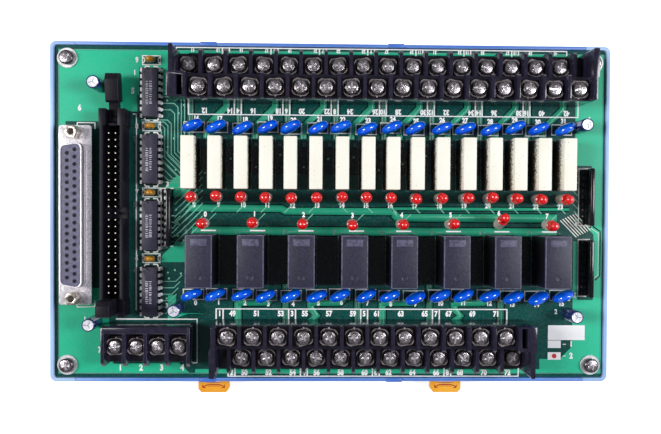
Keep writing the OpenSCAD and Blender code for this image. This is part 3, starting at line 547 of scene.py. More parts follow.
def moulded_group():
    """Moulded plastic or cast resin: patches of two shades, fine grain, and a
    gloss that wanders."""
    tree, entry, leave = new_group("moulded_skin", [
        ("Colour", "Color"), ("Shade", "Color"), ("Patch Scale", "Float"),
        ("Grain Scale", "Float"), ("Grain Depth", "Float"), ("Gloss", "Float"),
        ("Gloss Spread", "Float")],
        [("Color", "Color"), ("Roughness", "Float"), ("Normal", "Vector")])
    place = tree.nodes.new("ShaderNodeTexCoord").outputs["Object"]
    patch = noise(tree, place, entry.outputs["Patch Scale"], 4)
    grain = noise(tree, place, entry.outputs["Grain Scale"], 2)
    share = spanned(tree, patch.outputs["Fac"], 0.35, 0.65)
    colour = blended(tree, share, entry.outputs["Colour"], entry.outputs["Shade"])
    speck = spanned(tree, grain.outputs["Fac"], 0.3, 0.7, -0.5, 0.5)
    wander = sums(tree, "MULTIPLY", speck, entry.outputs["Gloss Spread"])
    tree.links.new(colour, leave.inputs["Color"])
    tree.links.new(sums(tree, "ADD", wander, entry.outputs["Gloss"]), leave.inputs["Roughness"])
    bump = bumped(tree, grain.outputs["Fac"], entry.outputs["Grain Depth"], 0.0002)
    tree.links.new(bump.outputs[0], leave.inputs["Normal"])
    return tree


def metal_group():
    """Plated metal: patches of a second tone (oxide; on the terminal screws a painted reflection) and fine
    scratches along one direction.
    """
    tree, entry, leave = new_group("plated_metal", [
        ("Colour", "Color"), ("Tarnish", "Color"), ("Patch Scale", "Float"),
        ("Scratch Scale", "Float"), ("Scratch Depth", "Float"), ("Gloss", "Float")],
        [("Color", "Color"), ("Roughness", "Float"), ("Normal", "Vector")])
    place = tree.nodes.new("ShaderNodeTexCoord").outputs["Object"]
    stretch = tree.nodes.new("ShaderNodeMapping")
    stretch.inputs["Scale"].default_value = (1, 0.07, 1)
    tree.links.new(place, stretch.inputs["Vector"])
    patch = noise(tree, place, entry.outputs["Patch Scale"], 3)
    scratch = noise(tree, stretch.outputs[0], entry.outputs["Scratch Scale"], 3)
    share = spanned(tree, patch.outputs["Fac"], 0.45, 0.75)
    tree.links.new(blended(tree, share, entry.outputs["Colour"], entry.outputs["Tarnish"]),
                   leave.inputs["Color"])
    rub = spanned(tree, scratch.outputs["Fac"], 0.3, 0.7, -0.06, 0.1)
    tree.links.new(sums(tree, "ADD", rub, entry.outputs["Gloss"]), leave.inputs["Roughness"])
    bump = bumped(tree, scratch.outputs["Fac"], entry.outputs["Scratch Depth"], 0.00005)
    tree.links.new(bump.outputs[0], leave.inputs["Normal"])
    return tree


def wear_group():
    """A mask of outer edges drawn lighter, worn and painted highlight both, broken up by noise."""
    tree, entry, leave = new_group("rubbed_edges", [("Reach", "Float"), ("Break Up", "Float")],
                                   [("Mask", "Float")])
    place = tree.nodes.new("ShaderNodeTexCoord").outputs["Object"]
    edge = tree.nodes.new("ShaderNodeAttribute")
    edge.attribute_name = "rubbed"
    breaks = noise(tree, place, entry.outputs["Break Up"], 3)
    patchy = spanned(tree, breaks.outputs["Fac"], 0.3, 0.6, 0.25, 1.0)
    both = sums(tree, "MULTIPLY", edge.outputs["Fac"], patchy)
    tree.links.new(sums(tree, "MULTIPLY", both, entry.outputs["Reach"]), leave.inputs["Mask"])
    return tree


def dust_group():
    """A mask of settled dust on faces that look up."""
    tree, entry, leave = new_group("settled_dust", [("Amount", "Float"), ("Scale", "Float")],
                                   [("Mask", "Float")])
    place = tree.nodes.new("ShaderNodeTexCoord").outputs["Object"]
    shape = tree.nodes.new("ShaderNodeNewGeometry")
    split = tree.nodes.new("ShaderNodeSeparateXYZ")
    tree.links.new(shape.outputs["Normal"], split.inputs[0])
    fine = noise(tree, place, entry.outputs["Scale"], 5)
    up = spanned(tree, split.outputs["Z"], 0.5, 1.0)
    flecks = spanned(tree, fine.outputs["Fac"], 0.45, 0.7)
    both = sums(tree, "MULTIPLY", up, flecks)
    tree.links.new(sums(tree, "MULTIPLY", both, entry.outputs["Amount"]), leave.inputs["Mask"])
    return tree


MOULDED = moulded_group()
PLATED = metal_group()
EDGE_WEAR_AND_HIGHLIGHT = wear_group()
DUSTY = dust_group()


class Finish:
    """One material in the making, with its tree and its shader."""

    def __init__(self, name, **plain):
        self.material = bpy.data.materials.new(name)
        self.material.use_nodes = True
        self.tree = self.material.node_tree
        self.shader = self.tree.nodes["Principled BSDF"]
        for label, value in plain.items():
            self.shader.inputs[label.replace("_", " ")].default_value = value

    def group(self, group, **values):
        made = self.tree.nodes.new("ShaderNodeGroup")
        made.node_tree = group
        for label, value in values.items():
            made.inputs[label.replace("_", " ")].default_value = value
        return made

    def feed(self, socket, label):
        self.tree.links.new(socket, self.shader.inputs[label])

    def object_place(self):
        return self.tree.nodes.new("ShaderNodeTexCoord").outputs["Object"]

    def along(self, axis):
        """Where the surface is along one axis of the object."""
        split = self.tree.nodes.new("ShaderNodeSeparateXYZ")
        self.tree.links.new(self.object_place(), split.inputs[0])
        return split.outputs[axis]

    def moulded(self, colour, shade, gloss, spread, patch, grain, depth):
        """A skin of moulded plastic."""
        return self.group(MOULDED, Colour=colour, Shade=shade, Patch_Scale=patch,
                          Grain_Scale=grain, Grain_Depth=depth, Gloss=gloss, Gloss_Spread=spread)

    def plated(self, colour, second_tone, gloss, patch, scratch, depth):
        """A skin of plated metal."""
        return self.group(PLATED, Colour=colour, Tarnish=second_tone, Patch_Scale=patch,
                          Scratch_Scale=scratch, Scratch_Depth=depth, Gloss=gloss)

    def rubbed(self, colour, worn_highlit_colour, reach, break_up=600.0):
        """A colour, with another on the edges, where they are worn and where a highlight is painted."""
        mask = self.group(EDGE_WEAR_AND_HIGHLIGHT, Reach=reach, Break_Up=break_up)
        return blended(self.tree, mask.outputs[0], colour, worn_highlit_colour)

    def done(self, colour, skin):
        """The material, with its colour and its skin's gloss and bumps."""
        self.feed(colour, "Base Color")
        for label in ("Roughness", "Normal"):
            self.feed(skin.outputs[label], label)
        return self.material


def plastic(name, colour, shade, gloss, spread=0.08, patch=40, grain=2500, depth=0.15,
            worn_highlit_colour=None, reach=0.5, dust=0.0, **plain):
    """A moulded plastic with its lighter edges, worn and painted highlight both, and its dust."""
    made = Finish(name, **plain)
    skin = made.moulded(colour, shade, gloss, spread, patch, grain, depth)
    colour = skin.outputs["Color"]
    if worn_highlit_colour is not None:
        colour = made.rubbed(colour, worn_highlit_colour, reach)
    if dust:
        mask = made.group(DUSTY, Amount=dust, Scale=900.0)
        colour = blended(made.tree, mask.outputs[0], colour, tint(175, 170, 165))
    return made.done(colour, skin)


def metal(name, colour, second_tone, gloss, patch=300, scratch=6000, depth=0.2, hollow=None,
          shade=None, **plain):
    """A plated metal, with a painted highlight in its hollows and painted shade on its shaded faces."""
    made = Finish(name, **{"Metallic": 1.0, **plain})
    skin = made.plated(colour, second_tone, gloss, patch, scratch, depth)
    colour = skin.outputs["Color"]
    for attribute, other in (("hollow", hollow), ("shaded", shade)):
        if other is not None:
            mask = made.tree.nodes.new("ShaderNodeAttribute")
            mask.attribute_name = attribute
            colour = blended(made.tree, mask.outputs["Fac"], colour, other)
    return made.done(colour, skin)


# ------------------------------------------------------------------ finishes

# The second colour given to a plastic goes on its rounded edges: worn plastic, and a painted highlight along
# them.
CARRIER_BLUE = plastic("carrier_blue", tint(76, 121, 206), tint(86, 132, 216), 0.4,
                       patch=30, grain=1800, depth=0.25, worn_highlit_colour=tint(150, 184, 242), reach=0.5)
# The end pieces are drawn paler than the rest of the carrier: painted light.
CARRIER_PALE_PAINTED_LIGHT = plastic("carrier_faded_blue", tint(174, 206, 246), tint(152, 188, 240), 0.4,
                       patch=26, grain=1800, depth=0.25, worn_highlit_colour=tint(206, 222, 250), reach=0.5)
CLIP_BLUE = plastic("clip_blue", tint(66, 112, 204), tint(74, 122, 212), 0.36,
                    grain=1500, depth=0.2, worn_highlit_colour=tint(130, 164, 232))
FOOT_BLUE = plastic("foot_blue", tint(76, 122, 208), tint(86, 132, 216), 0.45,
                    grain=1800, depth=0.25, worn_highlit_colour=tint(140, 172, 236))
LATCH_ORANGE = plastic("latch_orange", tint(255, 184, 58), tint(255, 170, 46), 0.38,
                       patch=90, grain=2200, depth=0.25, worn_highlit_colour=tint(255, 204, 120), reach=0.6)
LATCH_MARK = plastic("latch_mark_red", tint(190, 56, 10), tint(170, 44, 6), 0.6)
BLOCK_BLACK = plastic("terminal_block_black", tint(33, 31, 46), tint(43, 40, 60), 0.15,
                      spread=0.05, patch=500, grain=2600, depth=0.12,
                      worn_highlit_colour=tint(92, 88, 116), reach=0.7)
HEADER_BLACK = plastic("header_black", tint(15, 13, 22), tint(24, 21, 34), 0.42,
                       patch=900, grain=2800, depth=0.2, worn_highlit_colour=tint(98, 92, 132), reach=0.75,
                       IOR=1.3)
EJECTOR_BLACK = plastic("ejector_black", tint(17, 15, 22), tint(28, 25, 36), 0.5,
                        patch=1100, grain=2400, depth=0.35, worn_highlit_colour=tint(70, 66, 90), IOR=1.28)
INSULATOR = plastic("socket_insulator", tint(84, 82, 112), tint(98, 96, 128), 0.4,
                    patch=900, grain=3200, depth=0.3, dust=0.06)
DRIVER_BLACK = plastic("driver_case", tint(36, 33, 54), tint(46, 43, 66), 0.42,
                       patch=1500, grain=4200, depth=0.4, worn_highlit_colour=tint(96, 92, 116), reach=0.6)
DRIVER_PRINT = plastic("driver_print", tint(230, 228, 242), tint(206, 204, 222), 0.6)
NETWORK_BLACK = plastic("network_coat", tint(14, 13, 18), tint(22, 20, 28), 0.14,
                        patch=300, grain=900, depth=0.25)
LEAD_TIN = metal("lead_tin", tint(255, 255, 255), tint(226, 226, 234), 0.34, Metallic=0.1)
# Terminal screws: the bright hollow colour is a painted highlight in the driver hole, the dark shade colour
# is painted shade on the head's rim, and the dark patches of the second tone are painted reflection.
SCREW_NICKEL = metal("screw_nickel", tint(176, 170, 174), tint(30, 26, 30), 0.16,
                     patch=1400, scratch=9000, depth=0.8, hollow=tint(246, 242, 246),
                     shade=tint(62, 56, 62), Metallic=0.8)
# Washers: their flat middles get the dark shade colour as painted shade.
WASHER_NICKEL = metal("washer_nickel", tint(220, 210, 214), tint(60, 52, 56), 0.27,
                      patch=1700, scratch=7000, depth=0.6, shade=tint(40, 35, 40), Metallic=0.45)
# Terminal plates, and the pads beside the right hand networks, drawn near-black: painted shade.
DARK_PLATE_PAINTED_SHADE = metal("terminal_plate", tint(64, 58, 62), tint(36, 32, 36), 0.3)
# Board screws: a painted highlight in the driver hole, and painted shade on the head's rim.
BOARD_SCREW = metal("board_screw_steel", tint(170, 164, 170), tint(48, 42, 50), 0.22,
                    patch=1000, scratch=7000, depth=0.8, hollow=tint(240, 236, 240),
                    shade=tint(78, 72, 82), Metallic=0.8)
FIXING_WASHER = metal("board_washer_steel", tint(238, 238, 240), tint(200, 198, 204), 0.3,
                      patch=600, scratch=5000, depth=0.4, Metallic=0.5)
POST_NICKEL = metal("jack_post_nickel", tint(204, 196, 186), tint(120, 110, 108), 0.3,
                    patch=1300, depth=0.6, Metallic=0.8)
HOLE_BLACK = plastic("hole_shade", tint(6, 5, 10), tint(10, 8, 16), 0.6)
# The socket's contacts, deep in their holes, drawn dark gold: painted shade.
CONTACT_GOLD_SHADED = metal("contact_gold", tint(70, 54, 30), tint(40, 30, 18), 0.4)
CAN_ALUMINIUM = metal("can_aluminium", tint(250, 252, 255), tint(206, 212, 236), 0.3,
                      patch=900, scratch=4000, depth=0.5, Metallic=0.5)


def faded_along(node, colour_from, colour_to):
    """The carrier's blue, paler towards the node's left end: painted light."""
    low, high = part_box(node)
    made = Finish("carrier_blue_fading")
    skin = made.moulded(colour_from, colour_to, 0.42, 0.08, 30.0, 1800.0, 0.25)
    share = spanned(made.tree, made.along("X"), low.x, (low.x + high.x) / 2)
    colour = blended(made.tree, share, tint(124, 164, 232), skin.outputs["Color"])
    return made.done(made.rubbed(colour, tint(160, 190, 244), 0.5), skin)


def solder_mask(name, colour, shade, patch, gloss):
    """Solder mask over glass cloth: its weave shows faintly in colour and gloss."""
    made = Finish(name, IOR=1.4)
    tree = made.tree
    place = made.object_place()
    skin = made.moulded(colour, shade, gloss, 0.05, patch, 1400.0, 0.12)
    threads = []
    for direction in ("X", "Y"):
        wave = tree.nodes.new("ShaderNodeTexWave")
        wave.bands_direction = direction
        wave.inputs["Scale"].default_value = 420
        wave.inputs["Distortion"].default_value = 1.2
        tree.links.new(place, wave.inputs["Vector"])
        threads.append(wave.outputs["Fac"])
    weave = sums(tree, "MULTIPLY", threads[0], threads[1])
    faint = sums(tree, "MULTIPLY", weave, 0.16)
    lighter = tuple(min(1.0, part * 1.7 + 0.004) for part in colour[:3]) + (1.0,)
    coat = blended(tree, faint, skin.outputs["Color"], lighter)
    dust = made.group(DUSTY, Amount=0.05, Scale=1300.0)
    made.feed(blended(tree, dust.outputs[0], coat, tint(190, 195, 190)), "Base Color")
    made.feed(skin.outputs["Roughness"], "Roughness")
    made.feed(bumped(tree, weave, 0.06, 0.00003).outputs[0], "Normal")
    return made.material


BARE_MASK = solder_mask("mask_over_glass", tint(0, 66, 62), tint(4, 78, 72), 26.0, 0.22)
# Near-black mask: bare glass in the gaps between tracks, and painted shade between the relays and round the
# networks' pads.
DEEP_MASK = solder_mask("mask_over_bare_glass", tint(7, 20, 24), tint(10, 30, 32), 30.0, 0.2)
POUR_MASK = solder_mask("mask_over_ground_copper", tint(22, 182, 140), tint(30, 192, 150), 14.0, 0.36)
BAND_MASK = solder_mask("mask_over_wide_tracks", tint(30, 146, 114), tint(38, 160, 124), 20.0, 0.3)
DIM_MASK = solder_mask("mask_over_dim_tracks", tint(20, 100, 82), tint(28, 112, 90), 20.0, 0.28)
TRACK_MASK = solder_mask("mask_over_fine_tracks", tint(140, 212, 188), tint(110, 190, 162), 60.0, 0.3)
SILK_TRACK = solder_mask("mask_over_bright_tracks", tint(240, 248, 240), tint(224, 240, 228), 60.0, 0.3)
SILK = plastic("printed_white", tint(255, 255, 255), tint(244, 248, 246), 0.6,
               spread=0.05, patch=700, grain=6000, depth=0.2)
SILK_FAINT = plastic("printed_white_thin", tint(130, 150, 148), tint(74, 104, 102), 0.6,
                     spread=0.05, patch=900, grain=6000, depth=0.2)
LABEL_WHITE = plastic("label_white", tint(255, 255, 255), tint(248, 248, 254), 0.5,
                      patch=200, grain=3000, depth=0.2)
DOT_RED = plastic("marker_red", tint(212, 30, 40), tint(190, 20, 34), 0.5)


def relay_cream():
    """The slim relays' cream cases, with painted shade down their sides, broken into speckles."""
    low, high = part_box("slim_relay_1")
    tall = high.z - low.z
    made = Finish("slim_relay_cream")
    tree = made.tree
    skin = made.moulded(tint(255, 254, 243), tint(252, 249, 234), 0.45, 0.06, 70.0, 3000.0, 0.2)
    height = made.along("Z")
    rising = spanned(tree, height, low.z, high.z)
    unshaded_share = spanned(tree, height, low.z + tall * 0.3, high.z - tall * 0.02)
    # painted shade: the sides darken towards the board, in speckles
    shade_speckle = noise(tree, made.object_place(), 1500.0, 3)
    speck = spanned(tree, shade_speckle.outputs["Fac"], 0.3, 0.72, 0.02, 1.0)
    share = spanned(tree, sums(tree, "SUBTRACT", unshaded_share, speck), -0.05, 0.05)
    dark = blended(tree, rising, tint(26, 19, 16), tint(96, 78, 58))
    return made.done(blended(tree, share, dark, skin.outputs["Color"]), skin)


def shell_steel():
    """Plated shell: grainy flange, and two dark bands of painted shade standing for grooves in its rolled
    wall.
    """
    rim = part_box("socket_shell")[1].z
    made = Finish("socket_shell_steel", Metallic=0.5)
    tree = made.tree
    skin = made.plated(tint(246, 242, 248), tint(186, 180, 196), 0.36, 1500.0, 4200.0, 0.4)
    height = made.along("Z")
    colour = skin.outputs["Color"]
    # Two dark bands at set heights: painted shade of the grooves in the rolled wall.
    for top, tall in ((rim - 1.0 * MM, 1.1 * MM), (rim - 4.1 * MM, 0.6 * MM)):
        under = spanned(tree, height, top - 0.1 * MM, top, 1.0, 0.0)
        over = spanned(tree, height, top - tall, top - tall + 0.1 * MM)
        line = sums(tree, "MULTIPLY", under, over)
        colour = blended(tree, line, colour, tint(62, 56, 80))
    return made.done(colour, skin)


def power_case():
    """The power relays' dark cases: fine speckle, painted shade down their sides, and lighter edges, worn
    and painted highlight both.
    """
    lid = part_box("power_relay_1")[1].z
    made = Finish("power_relay_case")
    skin = made.moulded(tint(24, 24, 42), tint(50, 50, 76), 0.44, 0.1, 2300.0, 5200.0, 0.3)
    # painted shade: the sides darken below the lid
    rising = spanned(made.tree, made.along("Z"), lid - 3 * MM, lid - 0.5 * MM)
    colour = blended(made.tree, rising, tint(16, 15, 24), skin.outputs["Color"])
    return made.done(made.rubbed(colour, tint(134, 134, 168), 0.75, 900.0), skin)


def pin_gold():
    """Gold plated pins, bright at their tips, with painted shade near-black lower down in the housing."""
    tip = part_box("header_pins")[1].z
    made = Finish("header_pin_gold", Metallic=0.2)
    skin = made.plated(tint(255, 252, 236), tint(255, 240, 205), 0.34, 700.0, 6000.0, 0.1)
    # painted shade: near-black below the tips, where the pins stand in the housing
    share = spanned(made.tree, made.along("Z"), tip - 0.3 * MM, tip - 0.12 * MM)
    return made.done(blended(made.tree, share, tint(24, 20, 22), skin.outputs["Color"]), skin)


def lamp_red():
    """Red tinted resin that passes a little light."""
    made = Finish("lamp_red", IOR=1.6, Coat_Weight=1.0, Coat_Roughness=0.02, Coat_IOR=1.75,
                  Subsurface_Weight=0.15, Subsurface_Scale=0.001, Emission_Strength=0.06)
    skin = made.moulded(tint(244, 22, 30), tint(228, 12, 20), 0.1, 0.04, 400.0, 1200.0, 0.02)
    made.feed(skin.outputs["Color"], "Emission Color")
    return made.done(skin.outputs["Color"], skin)


RELAY_CREAM = relay_cream()
POWER_CASE = power_case()
SHELL_STEEL = shell_steel()
PIN_GOLD = pin_gold()
LAMP_RED = lamp_red()
VARISTOR_BLUE = plastic("varistor_lacquer", tint(0, 110, 255), tint(0, 90, 250), 0.1,
                        spread=0.06, patch=260, grain=700, depth=0.15,
                        Coat_Weight=1.0, Coat_Roughness=0.04, Coat_IOR=1.8, IOR=1.4)
SPACER_MILKY = plastic("lamp_spacer_nylon", tint(214, 208, 202), tint(190, 184, 178), 0.35,
                       spread=0.06, patch=300, grain=2000, depth=0.2,
                       IOR=1.53, Subsurface_Weight=0.4, Subsurface_Scale=0.002)
CAN_NAVY = plastic("can_sleeve_navy", tint(28, 32, 92), tint(44, 52, 124), 0.22,
                   patch=320, grain=900, depth=0.3, Coat_Weight=0.4, Coat_Roughness=0.12)
CERAMIC_TAN = plastic("ceramic_dip", tint(206, 148, 34), tint(150, 98, 16), 0.3, patch=900,
                      grain=1500, depth=0.6, Coat_Weight=0.3)
CAN_STRIPE = plastic("can_stripe_silver", tint(206, 210, 226), tint(180, 186, 210), 0.35)


# -------------------------------------------------------------- the carrier

def carrier():
    """The snap-together carrier, its clips, feet and latches, edges rounded off."""
    blues = {"end_left": CARRIER_PALE_PAINTED_LIGHT, "base_left": faded_along("base_left", tint(82, 128, 214),
                                                               tint(92, 138, 222)),
             "base_middle": CARRIER_BLUE, "base_right": CARRIER_BLUE, "end_right": CARRIER_PALE_PAINTED_LIGHT}
    for node, finish in blues.items():
        softened(node, 0.25 * MM, finish, "carrier", node + "_shell")
    softened("seam_clips", 0.15 * MM, CLIP_BLUE, "clip", "seam_clip_set")
    for side in ("left", "right"):
        softened("foot_" + side, 0.25 * MM, FOOT_BLUE, "foot", "rail_foot_" + side)
        softened("latch_" + side, 0.3 * MM, LATCH_ORANGE, "latch", "rail_latch_" + side,
                 body="latch_" + side)
        latch_mark(side)


def latch_mark(side):
    """A double-ended arrow laid on the latch's tab, its form guessed."""
    low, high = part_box("latch_" + side)
    across = (low.x + high.x) / 2
    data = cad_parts["latch_" + side].data
    level = max(v.co.z for v in data.vertices if v.co.y < low.y + 3 * MM) + 0.01 * MM
    shaft = low.y + 2.1 * MM
    reach = 4.4 * MM
    bow = []
    steps = 14
    for i in range(steps + 1):
        share = 2 * i / steps - 1
        bow.append((across + share * reach, shaft + 1.1 * MM * (1 - share ** 4)))
    heads = []
    for s in (-1, 1):
        tip = across + s * reach
        heads.append([(tip - s * 1.2 * MM, shaft - 0.15 * MM), (tip, shaft - 0.2 * MM),
                      (tip + s * 0.2 * MM, shaft + 1.0 * MM)])
    fine = [[(x, y - 0.6 * MM) for x, y in bow[3:-3]]]
    mark = joined("latch_mark_" + side, [
        lay(name, paths, width, 0.06 * MM, LATCH_MARK, level)
        for name, paths, width in (("mark_bow", [bow], 0.42 * MM),
                                   ("mark_heads", heads, 0.36 * MM),
                                   ("mark_line", fine, 0.18 * MM))])
    dress(mark, None, "latch", body="latch_" + side)


# --------------------------------------------------------- terminal fittings

def cross_cutter(arm, width, depth, top, slot_arm=0.0):
    """The hole that a cross driver fits, with a slot across it for a flat one."""
    work = bmesh.new()
    for turn in (0, 1):
        spin = Matrix.Rotation(turn * math.pi / 2, 3, "Z")
        ring = []
        for height, reach, half in ((top + 0.3 * MM, arm * 1.08, width * 0.62),
                                    (top - depth, arm * 0.45, width * 0.3)):
            ring.append([work.verts.new(spin @ Vector((x * reach, y * half, height)))
                         for x, y in ((-1, -1), (1, -1), (1, 1), (-1, 1))])
        over, under = ring
        work.faces.new(over)
        work.faces.new(list(reversed(under)))
        wall(work, under, over)
    if slot_arm:
        block(work, (-slot_arm, -width * 0.36, top - depth * 0.62), (slot_arm, width * 0.36, top * 1.3))
    bmesh.ops.recalc_face_normals(work, faces=work.faces)
    return from_bmesh("driver_hole", work)


def pan_head(name, radius, height, arm, width, depth, shank, length, slot_arm=0.0):
    """A pan head screw, its head standing on z = 0, with its driver hole."""
    round_off = height * 0.55
    profile = [(shank, -length), (shank, 0.0), (radius * 0.97, 0.0), (radius, height * 0.12)]
    for i in range(6):
        turn = math.radians(90 * i / 5)
        profile.append((radius - round_off + round_off * math.cos(turn),
                        height * 0.62 + (height * 0.3) * math.sin(turn)))
    profile.append((radius * 0.3, height))
    screw = from_bmesh(name, lathe(profile, 32))
    cut(screw, cross_cutter(arm, width, depth, height, slot_arm))
    # Faces inside the driver hole are marked for a painted highlight, and the head's outer rim for painted
    # shade.
    hollow, shaded = (screw.data.attributes.new(label, "FLOAT", "FACE")
                      for label in ("hollow", "shaded"))
    for face in screw.data.polygons:
        centre, up = face.center, face.normal.z
        out = math.hypot(centre.x, centre.y)
        inside = out < radius * 0.86 and centre.z > 0.05 * height
        sunk = abs(up) < 0.6 or (up > 0.9 and centre.z < height * 0.84)
        hollow.data[face.index].value = float(inside and sunk)
        shaded.data[face.index].value = 0.85 * float(out > radius * 0.84)
    return screw


def dished_washer(half, hole, thick, lift):
    """A square washer whose corners are turned up."""
    work = bmesh.new()
    steps = 40
    rings = 5
    layers = []
    for level in (0.0, thick):
        grid = []
        for j in range(rings):
            share = j / (rings - 1)
            ring = []
            for i in range(steps):
                turn = 2 * math.pi * i / steps
                x, y = math.cos(turn), math.sin(turn)
                reach = min(half / max(abs(x), abs(y)), half * 1.17)
                far = hole + (reach - hole) * share
                rise = lift * (max(0.0, far - half * 0.82) / (half * 0.35)) ** 1.3
                ring.append(work.verts.new((x * far, y * far, level + rise)))
            grid.append(ring)
        layers.append(grid)
    under, over = layers
    for i in range(steps):
        j = (i + 1) % steps
        for inner, outer in zip(range(rings - 1), range(1, rings)):
            work.faces.new((over[inner][i], over[outer][i], over[outer][j], over[inner][j]))
            work.faces.new((under[inner][j], under[outer][j], under[outer][i], under[inner][i]))
        work.faces.new((under[-1][i], under[-1][j], over[-1][j], over[-1][i]))
        work.faces.new((under[0][j], under[0][i], over[0][i], over[0][j]))
    bmesh.ops.recalc_face_normals(work, faces=work.faces)
    washer = from_bmesh("washer_pattern", work)
    # The flat middle is marked for painted shade, so that the turned-up corners show bright.
    shaded = washer.data.attributes.new("shaded", "FLOAT", "FACE")
    for face in washer.data.polygons:
        shaded.data[face.index].value = 0.9 * float(face.center.xy.length < half * 0.92)
    return washer


def terminal_fittings():
    """Screws, turned-up washers, plates and rivets on all three terminal blocks."""
    chance = random.Random(11)
    cups = boxes("terminal_cups")
    seats = [mid_at(low, high, high.z) for low, high in cups]
    low, high = cups[0]
    half = (high.x - low.x) / 2
    thick = high.z - low.z
    heads = boxes("terminal_screws")[0]
    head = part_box("terminal_screws")[1].z - max(seat.z for seat in seats)
    turned = [(seat, (0, 0, chance.uniform(0, math.pi))) for seat in seats]
    screw = pan_head("screw_pattern", (heads[1].x - heads[0].x) / 2, head, 1.5 * MM, 0.72 * MM,
                     1.1 * MM, 1.6 * MM, 3.0 * MM, slot_arm=2.2 * MM)
    fit_out("terminal_screw_set", screw, turned, SCREW_NICKEL, "screw", "terminal_screws",
            angle=40, uneven=0.05, seed=3)
    washer = dished_washer(half, 1.75 * MM, thick * 0.7, 1.15 * MM)
    laid = [(seat - Vector((0, 0, thick)), (0, 0, chance.uniform(-0.25, 0.25))) for seat in seats]
    fit_out("terminal_washer_set", washer, laid, WASHER_NICKEL, "washer", "terminal_cups",
            angle=40, uneven=0.03, seed=5)
    plates = []
    for node in PLATE_NODES:
        inward = -1 if node == "upper_plates" else 1
        for low, high in boxes(node):
            edge = low.y if inward < 0 else high.y
            plates.append(Vector(((low.x + high.x) / 2, edge - inward * 0.62 * MM, high.z)))
        paint(DARK_PLATE_PAINTED_SHADE, node)
    rivet = from_bmesh("rivet_pattern", lathe([
        (0.42 * MM, 0), (0.42 * MM, 0.18 * MM), (0.34 * MM, 0.34 * MM), (0.16 * MM, 0.42 * MM)], 12))
    fit_out("terminal_rivet_set", rivet, unturned(plates), LEAD_TIN, "terminal_plate", angle=50)


def terminal_blocks():
    """The three moulded terminal blocks."""
    for node in ("upper_block", "lower_block", "supply_block"):
        softened(node, 0.16 * MM, BLOCK_BLACK, "terminal_block", node + "_moulding")


# ------------------------------------------------------------- board fixings

def board_fixings():
    """Four pan head screws on washers, in the board's corners."""
    chance = random.Random(4)
    rings = boxes("board_washers")
    seats = [mid_at(low, high, low.z) for low, high in rings]
    radius = (rings[-1][1].x - rings[-1][0].x) / 2
    thick = rings[0][1].z - rings[0][0].z
    screw_low, screw_high = boxes("board_screws")[0]
    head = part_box("board_screws")[1].z - seats[0].z - thick
    screw = pan_head("fixing_pattern", (screw_high.x - screw_low.x) / 2, head, 1.7 * MM, 0.85 * MM,
                     1.4 * MM, 1.5 * MM, 6.0 * MM)
    places = [(seat + Vector((0, 0, thick)), (0, 0, chance.uniform(0, 1.5))) for seat in seats]
    fit_out("board_screw_set", screw, places, BOARD_SCREW, "screw", "board_screws",
            angle=40, seed=2)
    washer = from_bmesh("fixing_washer_pattern", lathe([
        (1.7 * MM, 0), (radius - 0.12 * MM, 0), (radius, 0.12 * MM), (radius, thick - 0.12 * MM),
        (radius - 0.12 * MM, thick), (1.7 * MM, thick)], 40, False, False))
    bmesh_close(washer)
    fit_out("board_washer_set", washer, unturned(seats), FIXING_WASHER, "washer",
            "board_washers", angle=40)


def bmesh_close(piece):
    """Joins the first and the last ring of a turned ring shape."""
    work = bmesh.new()
    work.from_mesh(piece.data)
    open_edges = [edge for edge in work.edges if edge.is_boundary]
    bmesh.ops.bridge_loops(work, edges=open_edges)
    bmesh.ops.recalc_face_normals(work, faces=work.faces)
    work.to_mesh(piece.data)
    work.free()


# -------------------------------------------------------- socket and header

def socket():
    """The long socket: steel shell, insulator, contacts and jack posts."""
    softened("socket_shell", 0.12 * MM, SHELL_STEEL, "socket_shell", "socket_shell_pressing")
    paint(INSULATOR, "socket_insulator")
    paint(CONTACT_GOLD_SHADED, "socket_contacts")
    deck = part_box("socket_insulator")[1].z
    holes = unturned(mid_at(low, high, deck) for low, high in boxes("socket_contacts"))
    # Black rings at the hole mouths: painted shade.
    mouth = from_bmesh("hole_mouth_pattern", lathe([
        (0.3 * MM, -0.02 * MM), (0.82 * MM, -0.02 * MM), (0.82 * MM, 0.015 * MM),
        (0.3 * MM, 0.005 * MM)], 16, False, False))
    bmesh_close(mouth)
    fit_out("socket_hole_mouths", mouth, holes, HOLE_BLACK, "socket_insulator", angle=50)
    softened("socket_posts", 0.15 * MM, POST_NICKEL, "post", "jack_post_pair")


def header():
    """The box header, its pins and its two ejectors."""
    housing = softened("header_body", 0.14 * MM, HEADER_BLACK, "header", "header_housing")
    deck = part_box("header_body")[1].z
    for row, face in zip(housing.data.attributes["rubbed"].data, housing.data.polygons):
        if face.center.z < deck - 0.2 * MM:
            row.value *= 0.25
    paint(PIN_GOLD, "header_pins")
    for end in ("upper", "lower"):
        softened("ejector_" + end, 0.2 * MM, EJECTOR_BLACK, "ejector", "header_ejector_" + end,
                 body="ejector_" + end)


# ------------------------------------------------------------------- relays

def slim_relays():
    """The slim relays' cases."""
    nodes = numbered("slim_relay_")
    low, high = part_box(nodes[0])
    half = (high - low) / 2
    work = bmesh.new()
    block(work, (-half.x, -half.y, 0), (half.x, half.y, 2 * half.z))
    pattern = rounded("slim_relay_pattern", work, 0.28 * MM, 3)
    fit_out("slim_relay_cases", pattern, standing(nodes), RELAY_CREAM, "slim_relay", *nodes)


